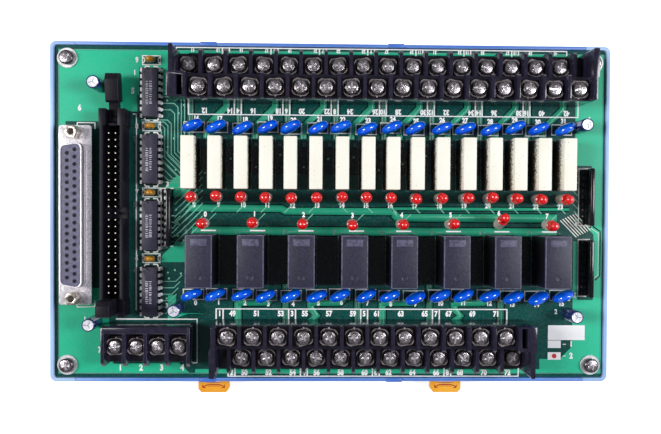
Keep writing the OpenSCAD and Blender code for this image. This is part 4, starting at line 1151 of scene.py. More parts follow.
def power_relays():
    """The power relays' cases with a raised field and a gate mark on each lid."""
    nodes = numbered("power_relay_")
    low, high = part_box(nodes[0])
    half = (high - low) / 2
    tall = 2 * half.z
    work = bmesh.new()
    block(work, (-half.x, -half.y, 0), (half.x, half.y, tall))
    case = rounded("power_relay_case", work, 0.35 * MM, 3)
    work = bmesh.new()
    field_y = half.y * 0.72
    block(work, (-half.x * 0.62, field_y - half.y * 0.13, tall - 0.1 * MM),
          (half.x * 0.62, field_y + half.y * 0.13, tall + 0.14 * MM))
    field = rounded("power_relay_field", work, 0.08 * MM, 2)
    for row, face in zip(field.data.attributes["rubbed"].data, field.data.polygons):
        row.value = 0.55 if face.normal.z > 0.9 else 0.8
    gate = from_bmesh("power_relay_gate", lathe([
        (1.25 * MM, tall - 0.1 * MM), (1.25 * MM, tall + 0.06 * MM), (1.1 * MM, tall + 0.12 * MM),
        (0.9 * MM, tall + 0.04 * MM), (0.3 * MM, tall + 0.04 * MM)], 28))
    moved(gate, (0, -half.y * 0.6, 0))
    ribs = bmesh.new()
    for s in (-1, 1):
        block(ribs, (s * half.x * 0.985 - 0.12 * MM, -half.y * 0.96, tall - 0.3 * MM),
              (s * half.x * 0.985 + 0.02 * MM, half.y * 0.96, tall + 0.05 * MM))
    rims = rounded("power_relay_rims", ribs, 0.04 * MM, 1)
    # The rims get the lighter edge colour all over: a painted highlight along the lid's sides.
    for row in rims.data.attributes["rubbed"].data:
        row.value = 0.9
    pattern = joined("power_relay_pattern", [case, field, gate, rims])
    fit_out("power_relay_cases", pattern, standing(nodes), POWER_CASE, "power_relay", *nodes)


# -------------------------------------------------------------- small parts

def tilt_of(points):
    """The turn that takes Z to the long axis of a round solid, seen from its foot."""
    low, high = low_high(points)
    quarter = (high.z - low.z) * 0.25
    cut_low = low.z + quarter
    cut_high = high.z - quarter
    under = [p for p in points if p.z < cut_low]
    over = [p for p in points if p.z > cut_high]
    foot = sum(under, Vector()) / len(under)
    top = sum(over, Vector()) / len(over)
    axis = (top - foot).normalized()
    return axis, Vector((0, 0, 1)).rotation_difference(axis)


def lamps():
    """Red lamps, each standing and leaning as its solid does, on milky spacers."""
    found = boxes("lamp_spacers")
    places = []
    tall = min(high.z - BOARD_TOP for low, high in found)
    wide = min(high.x - low.x for low, high in found) / 2
    for points in solids("lamp_spacers"):
        axis, turn = tilt_of(points)
        centre = sum(points, Vector()) / len(points)
        base = centre - axis * tall / 2
        places.append((base, tuple(turn.to_euler("XYZ"))))
    spacer = from_bmesh("spacer_pattern", lathe([
        (wide - 0.15 * MM, 0), (wide, 0.15 * MM), (wide, tall - 0.15 * MM),
        (wide - 0.15 * MM, tall), (wide * 0.5, tall)], 28))
    fit_out("lamp_spacer_set", spacer, places, SPACER_MILKY, "lamp_spacer", "lamp_spacers")
    radius = 1.8 * MM
    top = min(high.z for low, high in boxes("lamps")) - BOARD_TOP - tall
    collar = 0.8 * MM
    profile = [(radius + 0.18 * MM, 0.0), (radius + 0.3 * MM, 0.1 * MM),
               (radius + 0.3 * MM, collar - 0.12 * MM), (radius + 0.2 * MM, collar),
               (radius, collar + 0.08 * MM)]
    for i in range(10):
        turn = math.radians(90 * i / 10)
        profile.append((radius * math.cos(turn), top - radius + radius * math.sin(turn)))
    profile.append((radius * 0.07, top))
    lamp = moved(from_bmesh("lamp_pattern", lathe(profile, 28)), (0, 0, tall))
    fit_out("lamp_set", lamp, places, LAMP_RED, "lamp", "lamps", angle=50)


def varistors():
    """Blue lacquered discs, fat in the middle, with runs of lacquer on the wires."""
    found = boxes("varistors")
    top = max(high.z for low, high in found)
    lift = min(low.z for low, high in found) - BOARD_TOP
    wide = (top - BOARD_TOP - lift) / 2
    thick = 1.9 * MM
    chance = random.Random(31)
    work = bmesh.new()
    steps = 28
    rings = 9
    grid = []
    for j in range(rings):
        fall = math.pi * (j + 0.5) / rings - math.pi / 2
        out = math.cos(fall) ** 0.75
        up = math.copysign(abs(math.sin(fall)) ** 0.9, fall)
        ring = []
        for i in range(steps):
            turn = 2 * math.pi * i / steps
            ring.append(work.verts.new((wide * out * math.cos(turn), thick * up,
                                        wide * out * math.sin(turn) + lift + wide)))
        grid.append(ring)
    for lower, upper in zip(grid, grid[1:]):
        wall(work, lower, upper)
    for ring in (grid[0], grid[-1]):
        centre = work.verts.new(sum((v.co for v in ring), Vector()) / steps)
        centre.co.y *= 1.02
        for i in range(steps):
            work.faces.new((ring[i], ring[(i + 1) % steps], centre))
    bmesh.ops.recalc_face_normals(work, faces=work.faces)
    disc = from_bmesh("disc_pattern", work)
    runs = []
    wires = bmesh.new()
    for s in (-1, 1):
        run = from_bmesh("run", lathe([
            (0.4 * MM, 0.35 * MM), (0.55 * MM, lift * 0.7), (0.8 * MM, lift + wide * 0.3)], 12))
        runs.append(moved(run, Vector((s * 2.5 * MM, s * 0.5 * MM, 0))))
        block(wires, (s * 2.5 * MM - 0.25 * MM, s * 0.5 * MM - 0.25 * MM, 0),
              (s * 2.5 * MM + 0.25 * MM, s * 0.5 * MM + 0.25 * MM, lift))
    pattern = joined("varistor_pattern", [disc] + runs)
    places = [(mid_at(low, high, BOARD_TOP),
               (math.radians(chance.uniform(-5, 5)), 0, math.radians(chance.uniform(22, 29))))
              for low, high in found]
    fit_out("varistor_set", pattern, places, VARISTOR_BLUE, "varistor", "varistors", angle=60)
    wire = from_bmesh("varistor_wire_pattern", wires)
    fit_out("varistor_wire_set", wire, places, LEAD_TIN, "varistor", angle=None)


def cans():
    """Electrolytic capacitors: shrunk sleeve with a stripe, and a scored metal top."""
    chance = random.Random(21)
    found = boxes("electrolytics")
    radius = (found[0][1].x - found[0][0].x) / 2
    tall = found[0][1].z - found[0][0].z
    places = [(mid_at(low, high, low.z), (0, 0, chance.uniform(0, 6))) for low, high in found]
    sleeve = from_bmesh("sleeve_pattern", lathe([
        (radius * 0.82, 0), (radius * 0.97, 0.15 * MM), (radius, 0.5 * MM), (radius, 1.1 * MM),
        (radius * 0.93, 1.5 * MM), (radius, 1.95 * MM), (radius, tall - 0.55 * MM),
        (radius * 0.965, tall - 0.16 * MM), (radius * 0.86, tall - 0.02 * MM),
        (radius * 0.8, tall - 0.1 * MM)], 36))
    fit_out("can_sleeve_set", sleeve, places, CAN_NAVY, "can", "electrolytics", angle=40)
    top = from_bmesh("can_top_pattern", lathe([
        (radius * 0.84, tall - 0.3 * MM), (radius * 0.84, tall - 0.12 * MM),
        (radius * 0.78, tall - 0.04 * MM), (radius * 0.5, tall - 0.07 * MM),
        (radius * 0.1, tall - 0.07 * MM)], 36))
    scores = bmesh.new()
    for i in range(3):
        turn = Matrix.Rotation(2 * math.pi * i / 3, 4, "Z")
        made = []
        for x, y, z in ((0, -1, 0), (1, -1, 0), (1, 1, 0), (0, 1, 0), (0, -1, 1), (1, -1, 1),
                        (1, 1, 1), (0, 1, 1)):
            corner = Vector((x * radius * 0.64, y * 0.09 * MM, tall - 0.12 * MM + z * 0.3 * MM))
            made.append(scores.verts.new(turn @ corner))
        for face in ((3, 2, 1, 0), (4, 5, 6, 7), (0, 1, 5, 4), (1, 2, 6, 5), (2, 3, 7, 6),
                     (3, 0, 4, 7)):
            scores.faces.new([made[k] for k in face])
    bmesh.ops.recalc_face_normals(scores, faces=scores.faces)
    top = cut(top, from_bmesh("scores", scores))
    fit_out("can_top_set", top, places, CAN_ALUMINIUM, "can", angle=30)
    stripe = bmesh.new()
    edge = radius + 0.02 * MM
    span = math.radians(46)
    columns = []
    for i in range(7):
        turn = -span / 2 + span * i / 6
        columns.append([stripe.verts.new((edge * math.cos(turn), edge * math.sin(turn), height))
                        for height in (2.1 * MM, tall - 0.6 * MM)])
    for left, right in zip(columns, columns[1:]):
        stripe.faces.new((left[0], right[0], right[1], left[1]))
    strip = from_bmesh("stripe_pattern", stripe)
    fit_out("can_stripe_set", strip, places, CAN_STRIPE, "can", angle=60)


def drivers():
    """Driver circuits: drafted case with an end notch, bent tinned leads, and
    rows of short bars where their printing is."""
    found = boxes("drivers")
    low, high = found[0]
    half_w = 3.2 * MM
    half_l = (high.y - low.y) / 2
    deck = high.z - BOARD_TOP
    waist = deck - 1.7 * MM
    floor = 0.5 * MM
    work = bmesh.new()
    rings = []
    for level, inset in ((floor, 0.28 * MM), (waist, 0.0), (deck, 0.34 * MM)):
        w = half_w - inset
        d = half_l - inset
        rings.append([work.verts.new(corner) for corner in (
            (-w, -d, level), (w, -d, level), (w, d, level), (-w, d, level))])
    work.faces.new(list(reversed(rings[0])))
    work.faces.new(rings[-1])
    for lower, upper in zip(rings, rings[1:]):
        wall(work, lower, upper)
    case = rounded("driver_pattern", work, 0.1 * MM, 2, angle=20)
    notch = from_bmesh("notch", lathe([(0.95 * MM, deck - 0.55 * MM), (0.95 * MM, deck + MM)], 20))
    case = cut(case, moved(notch, (0, half_l - 0.3 * MM, 0)))
    dimple = from_bmesh("dimple", lathe([(0.5 * MM, deck - 0.2 * MM), (0.5 * MM, deck + MM)], 16))
    case = cut(case, moved(dimple, Vector((-half_w + 1.5 * MM, half_l - 1.9 * MM, 0))))
    seats = [mid_at(low, high, BOARD_TOP) for low, high in found]
    fit_out("driver_case_set", case, unturned(seats), DRIVER_BLACK, "driver", "drivers", angle=30)
    work = bmesh.new()
    reach = (high.x - low.x) / 2
    for x0, x1, y, z0, z1 in (
            (half_w - 0.2 * MM, reach, 0.72 * MM, waist - 0.14 * MM, waist + 0.14 * MM),
            (reach - 0.28 * MM, reach, 0.72 * MM, waist - 0.9 * MM, waist),
            (reach - 0.28 * MM, reach, 0.26 * MM, 0, waist - 0.8 * MM)):
        block(work, (x0, -y, z0), (x1, y, z1))
    lead = rounded("driver_lead_pattern", work, 0.06 * MM, 1)
    feet = []
    for seat in seats:
        for side in (0, 1):
            for i in range(8):
                feet.append((seat + Vector((0, (i - 3.5) * PIN_PITCH, 0)), (0, 0, side * math.pi)))
    fit_out("driver_lead_set", lead, feet, LEAD_TIN, "driver")
    pad = from_bmesh("driver_pad_pattern", lathe([
        (0.72 * MM, 0.0), (0.68 * MM, 0.06 * MM), (0.42 * MM, 0.2 * MM), (0.24 * MM, 0.26 * MM)], 12))
    moved(pad, (reach - 0.08 * MM, 0, 0))
    fit_out("driver_pad_set", pad, feet, LEAD_TIN, "board", angle=50)
    chance = random.Random(9)
    bars = []
    for seat in seats:
        for row in (-0.9 * MM, 0.5 * MM):
            along = half_l * 0.42
            while along > -half_l * 0.5:
                step = chance.uniform(0.5, 0.95) * MM
                tall = (0.55 if chance.random() > 0.3 else 0.34) * MM
                bars.append([(seat.x + row - tall, seat.y + along),
                             (seat.x + row + tall, seat.y + along)])
                along -= step
    printing = lay("driver_print_bars", bars, 0.25 * MM, 0.02 * MM, DRIVER_PRINT,
                   BOARD_TOP + deck + 0.005 * MM)
    dress(printing, None, "driver")


def ceramic_capacitors():
    """Small dipped ceramic capacitors beside the driver circuits."""
    paint(CERAMIC_TAN, "ceramic_capacitors")


def resistor_networks():
    """Dipped combs of resistors, each on a row of tinned wires."""
    found = boxes("resistor_networks")
    low, high = found[0]
    half = (high - low) / 2
    foot = 1.0 * MM
    work = bmesh.new()
    block(work, (-half.x * 0.8, -half.y, foot), (half.x * 0.8, half.y, 2 * half.z))
    pattern = rounded("network_pattern", work, 0.5 * MM, 3)
    seats = [mid_at(a, b, BOARD_TOP) for a, b in found]
    fit_out("network_coat_set", pattern, unturned(seats), NETWORK_BLACK, "resistor_network",
            "resistor_networks", angle=50)
    wires = bmesh.new()
    block(wires, (-0.22 * MM, -0.35 * MM, 0), (0.22 * MM, 0.35 * MM, foot + 0.2 * MM))
    wire = from_bmesh("network_wire_pattern", wires)
    rows = [Vector((0, (i - 4) * PIN_PITCH, 0)) for i in range(9)]
    feet = unturned(seat + row for seat in seats for row in rows)
    fit_out("network_wire_set", wire, feet, LEAD_TIN, "resistor_network", angle=None)
    pad = from_bmesh("pad_pattern", lathe([
        (0.95 * MM, 0.0), (0.9 * MM, 0.08 * MM), (0.55 * MM, 0.3 * MM), (0.3 * MM, 0.42 * MM)], 16))
    # The pads on the right hand networks are near-black: painted shade.
    for name, side, shift, finish in (("bright_pad_set", -1, -1.75 * MM, LEAD_TIN),
                                      ("dull_pad_set", 1, -1.3 * MM, DARK_PLATE_PAINTED_SHADE)):
        pads = unturned(seat + Vector((shift, row.y, 0)) for seat in seats
                        if seat.x * side > 0 for row in rows)
        fit_out(name, pad, pads, finish, "board", angle=50, keep=True)
    drop(pad)


# ------------------------------------------------- artwork on the circuit board

class Artwork:
    """What is etched and printed on the board: plates, strips and numerals, laid
    out from the places of the parts that stand there."""

    def __init__(self):
        self.low, self.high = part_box("board")
        self.top = self.high.z
        self.etched = self.top + 0.02 * MM
        self.printed = self.top + 0.05 * MM
        self.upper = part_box("upper_block")
        self.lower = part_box("lower_block")
        self.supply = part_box("supply_block")
        self.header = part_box("header_body")
        self.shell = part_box("socket_shell")
        self.slim = [middle(node) for node in numbered("slim_relay_")]
        self.power = [middle(node) for node in numbered("power_relay_")]
        self.slim_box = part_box("slim_relay_1")
        self.power_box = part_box("power_relay_1")
        self.drivers = boxes("drivers")
        self.drivers.sort(key=lambda corners: -corners[0].y)
        self.networks = boxes("resistor_networks")
        self.cells = {node: sorted(boxes(node), key=lambda c: c[0].x) for node in PLATE_NODES}
        self.glyphs = {}
        self.marks = bmesh.new()
        self.faint_marks = bmesh.new()

    def glyph(self, text):
        """The corners and faces of a printed number, one unit tall."""
        if text not in self.glyphs:
            curve = bpy.data.curves.new("numeral", "FONT")
            curve.body = text
            curve.align_x = "CENTER"
            curve.align_y = "CENTER"
            curve.resolution_u = 3
            curve.offset = 0.055
            made = new_object("numeral", curve)
            bpy.context.view_layer.update()
            graph = bpy.context.evaluated_depsgraph_get()
            data = bpy.data.meshes.new_from_object(made.evaluated_get(graph))
            self.glyphs[text] = ([v.co.copy() for v in data.vertices],
                                 [tuple(p.vertices) for p in data.polygons])
            bpy.data.objects.remove(made)
            bpy.data.meshes.remove(data)
            bpy.data.curves.remove(curve)
        return self.glyphs[text]

    def number(self, text, x, y, tall=1.9 * MM, turned=False, faint=False):
        """Prints a plain number, upside down if turned."""
        corners, faces = self.glyph(str(text))
        work = self.faint_marks if faint else self.marks
        flip = -1 if turned else 1
        verts = [work.verts.new((x + flip * c.x * tall * NUMERAL_WIDTH * NUMERAL_SIZE,
                                 y + flip * c.y * tall * NUMERAL_SIZE, self.printed))
                 for c in corners]
        for face in faces:
            try:
                work.faces.new([verts[i] for i in face])
            except ValueError:
                continue

    def side_lines(self, x, near_y, line_y):
        """A short line on either side of a number in a frame."""
        return [[(x + s * 1.35 * MM, near_y), (x + s * 1.35 * MM, line_y)] for s in (-1, 1)]

    def strips(self, name, paths, width, thickness, finish, level):
        """Lays flat strips on the board."""
        dress(lay(name, paths, width, thickness, finish, level), None, "board")

    def tiers(self, node):
        """A terminal block's plates on its low tier, and those on its high tier."""
        level = self.top + HIGH_TIER
        cells = self.cells[node]
        return [c for c in cells if c[0].z < level], [c for c in cells if c[0].z > level]

    def frame_lines(self, x0, y0, x1, y1):
        """A closed box as a printed line."""
        corners = oblong(x0, y0, x1, y1)
        return corners + corners[:1]

    def ground(self):
        """The ground copper: the board's left field, its edges and its right side."""
        work = bmesh.new()
        inset = 1.7 * MM
        x0 = self.low.x + inset
        x1 = self.high.x - 0.4 * MM
        y0 = self.low.y + inset
        y1 = self.high.y - inset

        def pour(*outline):
            slab(work, outline, self.top + 0.004 * MM, self.etched)

        field_x = self.drivers[0][1].x + 5.5 * MM
        chip_x = self.drivers[0][0].x - 1.6 * MM
        socket_x = self.shell[1].x + 2.4 * MM
        head_y = self.header[1].y
        upper_in = self.upper[0].y
        upper_out = self.upper[1].y
        # top left field, down to the socket and round the first driver circuit
        pour((x0, head_y - 4 * MM), (socket_x, head_y - 4 * MM), (self.header[0].x, head_y),
                    (chip_x, head_y), (chip_x, upper_in + 3 * MM), (field_x + 3 * MM, upper_in + 3 * MM),
                    (field_x + 5 * MM, upper_in + 6 * MM), (field_x + 5 * MM, y1), (x0, y1))
        # strip along the upper edge, then down the right side
        side_x = self.slim[-1].x + 6.2 * MM
        pour((field_x + 5 * MM, upper_out + 0.4 * MM), (x1, upper_out + 0.4 * MM), (x1, y1),
                    (field_x + 5 * MM, y1))
        rights = sorted((n for n in self.networks if n[0].x > 0), key=lambda n: n[0].y)
        lower_net, upper_net = rights
        gap_x = lower_net[0].x - 3.4 * MM
        field_left = gap_x - 0.9 * MM
        edge_x = x1 - 3.5 * MM
        foot_y = lower_net[0].y - 1.5 * MM
        pour((side_x, upper_in - 5 * MM), (side_x, upper_net[1].y + 1.2 * MM),
                    (x1, upper_net[1].y + 1.2 * MM), (x1, upper_out + 0.4 * MM),
                    (side_x, upper_out + 0.4 * MM))
        pour((upper_net[1].x + 0.6 * MM, upper_net[0].y - 1 * MM), (x1, upper_net[0].y - 1 * MM),
                    (x1, upper_net[1].y + 1.2 * MM), (upper_net[1].x + 0.6 * MM, upper_net[1].y + 1.2 * MM))
        pour((edge_x, foot_y), (x1, foot_y), (x1, upper_net[0].y - 1 * MM),
                    (edge_x - 2.5 * MM, upper_net[0].y - 1 * MM), (edge_x, upper_net[0].y - 3.5 * MM))
        pour((field_left, foot_y), (gap_x + 0.9 * MM, foot_y),
                    (gap_x + 0.9 * MM, lower_net[1].y - 0.8 * MM), (field_left, lower_net[1].y - 0.8 * MM))
        pour((field_left, foot_y), (field_left, y0 + 10.5 * MM), (field_left - 5 * MM, y0 + 5.5 * MM),
                    (gap_x - 14 * MM, y0 + 5.5 * MM), (gap_x - 14 * MM, y0), (x1, y0), (x1, foot_y))
        pour((self.lower[0].x - 8 * MM, y0), (gap_x - 14 * MM, y0),
                    (gap_x - 14 * MM, self.lower[0].y - 0.6 * MM),
                    (self.lower[0].x - 8 * MM, self.lower[0].y - 0.6 * MM))
        # left edge and the lower left field round the supply terminals
        foot_y = self.shell[0].y + 6 * MM
        pour((x0, y0), (self.supply[1].x - 2 * MM, y0), (self.supply[1].x - 6 * MM, y0 + 4 * MM),
                    (self.supply[0].x + 2 * MM, self.supply[0].y - 1 * MM),
                    (self.supply[0].x, self.supply[1].y + 3 * MM), (socket_x, foot_y), (x0, foot_y))
        pour((x0, foot_y), (x0 + 2.4 * MM, foot_y), (x0 + 2.4 * MM, head_y - 4 * MM),
                    (x0, head_y - 4 * MM))
        # islands beside the driver circuits
        for low, high in self.drivers[1:3]:
            y = low.y - 2.2 * MM
            x = high.x + 0.8 * MM
            pour((x - 2 * MM, y - 2.6 * MM), (x + 8 * MM, y - 2.6 * MM), (x + 13.5 * MM, y + 3 * MM),
                        (x + 13.5 * MM, y + 5.4 * MM), (x + 5 * MM, y + 5.4 * MM), (x, y + 0.6 * MM))
        island = self.drivers[3]
        x = island[1].x + 2.6 * MM
        pour((x, island[0].y + 8 * MM), (x + 3.2 * MM, island[0].y + 8 * MM),
                    (x + 3.2 * MM, island[0].y + 1 * MM), (x + 9 * MM, island[0].y + 1 * MM),
                    (x + 15 * MM, self.lower[1].y + 2 * MM), (x + 8 * MM, self.lower[1].y + 2 * MM),
                    (x, island[0].y - 2 * MM))
        copper = from_bmesh("ground_copper", work)
        dress(copper, POUR_MASK, "board")

    def edge_lines(self):
        """A thin bright line along the edge of the ground copper: a painted highlight."""
        inset = 1.5 * MM
        path = self.frame_lines(self.low.x + inset, self.low.y + inset,
                                self.high.x - 0.4 * MM, self.high.y - inset)
        self.strips("ground_edge_line", [path], 0.28 * MM, 0.02 * MM, TRACK_MASK,
                    self.etched + 0.005 * MM)

    def plain_mask(self):
        """Near-black mask between the relays, as painted shade, and under the wires of the resistor
        networks, as painted shade round their pads, and of the driver circuits."""
        work = bmesh.new()
        slim_y = self.slim_box[1].y
        power_y = self.power_box[1].y
        for x0, x1, y0, y1 in (
                (self.slim[0].x - 2 * MM, self.slim[-1].x + 2 * MM, slim_y - 14 * MM, slim_y - 3.2 * MM),
                (self.power[0].x - 3 * MM, self.power[-1].x + 4 * MM, self.power_box[0].y - 0.4 * MM,
                 power_y - 1 * MM)):
            slab(work, oblong(x0, y0, x1, y1), self.top, self.top + 0.006 * MM)
        for left, right, beyond, found in ((2.4, 0.0, 0.0, self.networks), (0.9, 0.5, 0.5, self.drivers)):
            for low, high in found:
                x0, x1 = low.x - left * MM, high.x + right * MM
                y0, y1 = low.y - beyond * MM, high.y + beyond * MM
                slab(work, oblong(x0, y0, x1, y1), self.top, self.etched + 0.006 * MM)
        dress(from_bmesh("plain_mask_areas", work), DEEP_MASK, "board")

    def bands(self):
        """Wide tracks from the terminals to the relays, and along the lamps, each
        with a dark gap along its sides."""
        level = self.etched - 0.004 * MM
        wide, dim, thin = [], [], []
        upper_in = self.upper[0].y
        relay_top = self.slim_box[1].y
        for k, (low, high) in enumerate(self.tiers("upper_plates")[1]):
            x = (low.x + high.x) / 2
            if k % 2:
                wide.append([(x - 0.8 * MM, upper_in + 1 * MM), (x - 0.8 * MM, upper_in - 1.2 * MM),
                             (x - 8.7 * MM, upper_in - 9.1 * MM), (x - 8.7 * MM, relay_top)])
            else:
                dim.append([(x - 5.4 * MM, upper_in + 1 * MM), (x - 5.4 * MM, relay_top)])
        lower_in = self.lower[1].y
        relay_foot = self.power_box[0].y
        centres = [(low.x + high.x) / 2 for low, high in self.tiers("lower_plates")[1]]
        for k in range(0, len(centres) - 2, 3):
            first, second, third = centres[k:k + 3]
            start = [(first + 2.4 * MM, lower_in - 1 * MM)]
            if k % 2:
                start = [(first + 2.4 * MM, lower_in - 1 * MM), (first + 5.2 * MM, lower_in + 1.4 * MM),
                         (first + 2.6 * MM, lower_in + 4.0 * MM)]
            wide.append(start + [(first + 2.4 * MM, lower_in + 6.6 * MM)])
            wide.append([(first + 2.4 * MM, lower_in + 6.6 * MM), (second + 4.7 * MM, lower_in + 6.6 * MM),
                         (second + 8.2 * MM, lower_in + 10.1 * MM)])
            dim.append([(third + 2.1 * MM, lower_in - 1 * MM), (third + 2.1 * MM, relay_foot)])
        left = self.slim[0].x - 1.5 * MM
        right = self.networks[-1][0].x - 11 * MM
        middle_y = (self.slim[0].y + self.power[0].y) / 2
        span = right - left
        step = left + 0.55 * span
        wide.append([(left, middle_y + 1.2 * MM), (left + 0.25 * span, middle_y + 1.2 * MM),
                     (left + 0.26 * span, middle_y + 0.2 * MM), (step, middle_y + 0.2 * MM)])
        broad = [[(step, middle_y + 0.2 * MM), (step + 2 * MM, middle_y - 2.2 * MM),
                  (right, middle_y - 2.2 * MM)]]
        broad.append([(self.power[0].x - 5 * MM, middle_y - 7.7 * MM), (right, middle_y - 7.8 * MM)])
        thin.append([(step - 3 * MM, middle_y + 0.4 * MM), (step - 2 * MM, middle_y + 1.4 * MM),
                     (right + 5 * MM, middle_y + 1.4 * MM)])
        gap = 0.9 * MM
        for name, paths, width, finish in (("wide_tracks", wide, 2.8 * MM, BAND_MASK),
                                           ("dim_tracks", dim, 2.6 * MM, DIM_MASK),
                                           ("lamp_feeds", broad, 3.3 * MM, BAND_MASK),
                                           ("thin_feed", thin, 1.2 * MM, BAND_MASK)):
            self.strips(name + "_gaps", paths, width + gap, 0.01 * MM, DEEP_MASK,
                        level - 0.006 * MM)
            self.strips(name, paths, width, 0.01 * MM, finish, level)

    def tracks(self):
        """Fine tracks: from the driver circuits to the relays, from each lamp, and
        fanned out beside the resistor networks."""
        fine = []
        relay_left = self.slim[0].x - 2.6 * MM
        first, second = self.drivers[:2]
        start_x = first[1].x + 0.5 * MM
        turn_y = (second[0].y + second[1].y) / 2 + 4.5 * MM
        for j in range(8):
            # down beside the first driver circuit in nested columns, then to the relays
            column = relay_left - (0.5 + 1.3 * j) * MM
            if j < 4:
                begin, y = start_x, (first[0].y + first[1].y) / 2 - (j - 0.5) * PIN_PITCH
            else:
                begin, y = first[0].x, first[0].y - (0.7 + 0.8 * (j - 4)) * MM
            low_y = turn_y - 0.6 * j * MM
            fine.append([(begin, y), (column - 1.5 * MM, y), (column, y - 1.5 * MM),
                         (column, low_y), (relay_left + 0.5 * MM, low_y - (relay_left + 0.5 * MM - column))])
        for k, (low, high) in enumerate(self.drivers[1:]):
            foot = (low.y + high.y) / 2 - 3.5 * PIN_PITCH
            for i in range(2, 8):
                y = foot + (7 - i) * PIN_PITCH
                if k == 0:
                    floor = foot + 0.8 * MM * (7 - i)
                    fall = min(y - floor, relay_left - start_x - 0.6 * MM)
                    path = [(start_x, y), (start_x + 0.4 * MM, y),
                            (start_x + 0.4 * MM + fall, y - fall), (relay_left, y - fall)]
                else:
                    out = start_x + (1.4 + 0.75 * (7 - i)) * MM
                    run = max(0.0, relay_left - 0.7 * MM * i - out)
                    path = [(start_x, y), (out, y), (out + run, y + run)]
                fine.append(path)
        for x, y in [(c.x, self.slim[0].y - 13 * MM) for c in self.slim]:
            side = 1 if x < 0 else -1
            fine.append([(x + side * 1 * MM, y - 2.4 * MM), (x - side * 2.6 * MM, y - 6 * MM)])
        for centre in self.power:
            fine.append([(centre.x + 1 * MM, self.power[0].y + 14.5 * MM),
                         (centre.x + 4.4 * MM, self.power[0].y + 17.9 * MM)])
        left = self.networks[0]
        for low, high in self.networks:
            if low.x < 0:
                left = (low, high)
        for i in range(9):
            y = (left[0].y + left[1].y) / 2 + (i - 4) * PIN_PITCH
            x = left[1].x + 0.5 * MM
            fine.append([(x, y), (x + (4 + 0.5 * i) * MM, y + (4 + 0.5 * i) * MM)])
            fine.append([(x + 1.8 * MM, y - 1 * MM), (x + 11 * MM, y + 8.2 * MM)])
        right = [n for n in self.networks if n[0].x > 0]
        right.sort(key=lambda n: -n[0].y)
        low, high = right[0]
        for i in range(9):
            y = (low.y + high.y) / 2 + (i - 4) * PIN_PITCH
            x = low.x - 2.2 * MM
            reach = (1.5 + 0.45 * i) * MM
            fine.append([(x, y), (x - reach, y + reach)])
        self.strips("fine_tracks", fine, 0.34 * MM, 0.03 * MM, TRACK_MASK, self.etched)
        corner = Vector((low.x, low.y, 0))
        above = [corner + Vector((x, y, 0)) * MM for x, y in ((-9.7, 2.1), (-3.7, 4.9))]
        below = [corner + Vector((x, y, 0)) * MM for x, y in ((-3.1, -4.6), (2.4, -1.8))]
        work = bmesh.new()
        slab(work, [(v.x, v.y) for v in (below[0], below[1], above[1], above[0])], self.top,
             self.etched - 0.001 * MM)
        dress(from_bmesh("fan_gaps", work), DEEP_MASK, "board")
        fan = []
        count = 6
        for i in range(count + 1):
            start = above[0].lerp(above[1], i / count)
            end = below[0].lerp(below[1], i / count)
            fan.append([(start.x, start.y), (end.x, end.y)])
        self.strips("fan_tracks", fan, 0.46 * MM, 0.02 * MM, SILK_TRACK, self.etched)
        # a bare gap with a fine track inside it, round the lower right network
        low, high = right[1]
        for shift, width, finish, name in ((0.0, 0.55 * MM, DEEP_MASK, "loop_gap"),
                                           (-0.75 * MM, 0.24 * MM, SILK_TRACK, "loop_track")):
            path = [(high.x + 1.2 * MM + shift, high.y + 5.3 * MM + shift),
                    (high.x + 4.3 * MM + shift, high.y + 3.3 * MM + shift),
                    (high.x + 4.3 * MM + shift, low.y + 8.3 * MM),
                    (high.x + 2.3 * MM + shift, low.y + 6.3 * MM - shift)]
            self.strips(name, [path], width, 0.02 * MM, finish, self.etched)

    def vias(self):
        """Small tinned holes beside the driver circuits and between the relays."""
        chance = random.Random(17)
        ring = from_bmesh("via_pattern", lathe([
            (0.42 * MM, 0.0), (0.4 * MM, 0.03 * MM), (0.2 * MM, 0.035 * MM)], 12))
        spots = []
        for low, high in self.drivers:
            for _ in range(5):
                spots.append(Vector((high.x + chance.uniform(2, 9) * MM,
                                     low.y + chance.uniform(0, 18) * MM, self.top + 0.03 * MM)))
        for centre in self.slim:
            spots.append(Vector((centre.x + 4.9 * MM, centre.y + chance.uniform(-4, 4) * MM,
                                 self.top + 0.03 * MM)))
        fit_out("via_set", ring, unturned(spots), TRACK_MASK, "board")

    def prints(self):
        """Printed frames, boxes and plain numbers."""
        lines, thin = [], []
        # frames round the terminal numbers, outside and inside the upper block
        low_tier, high_tier = self.tiers("upper_plates")
        step = (low_tier[-1][0].x - low_tier[0][0].x) / (len(low_tier) - 1)
        for tier, line_y, near_y, turned, numbers_y, first in (
                (low_tier, self.high.y - 0.28 * MM, self.upper[1].y, True, self.high.y - 1.2 * MM, 1),
                (high_tier, self.upper[0].y - 4.3 * MM, self.upper[0].y, True,
                 self.upper[0].y - 2.7 * MM, 2)):
            tall = 1.3 * MM if tier is low_tier else 2.0 * MM
            left = tier[0][0].x - 2.2 * MM
            right = tier[-1][1].x + 1.2 * MM
            lines.append([(left, near_y), (left, line_y), (right, line_y), (right, near_y)])
            for k in range(0, len(tier), 2):
                x = (tier[k][0].x + tier[k][1].x) / 2 - step * 0.62
                if k:
                    lines.extend(self.side_lines(x, near_y, line_y))
                    self.number(k + first, x, numbers_y, tall * 0.95, turned)
            for k, (low, high) in enumerate(tier):
                shift = 0.6 * MM if k % 2 else 0.2 * MM
                self.number(10 + 2 * k + first, (low.x + high.x) / 2 + shift, numbers_y, tall, turned)
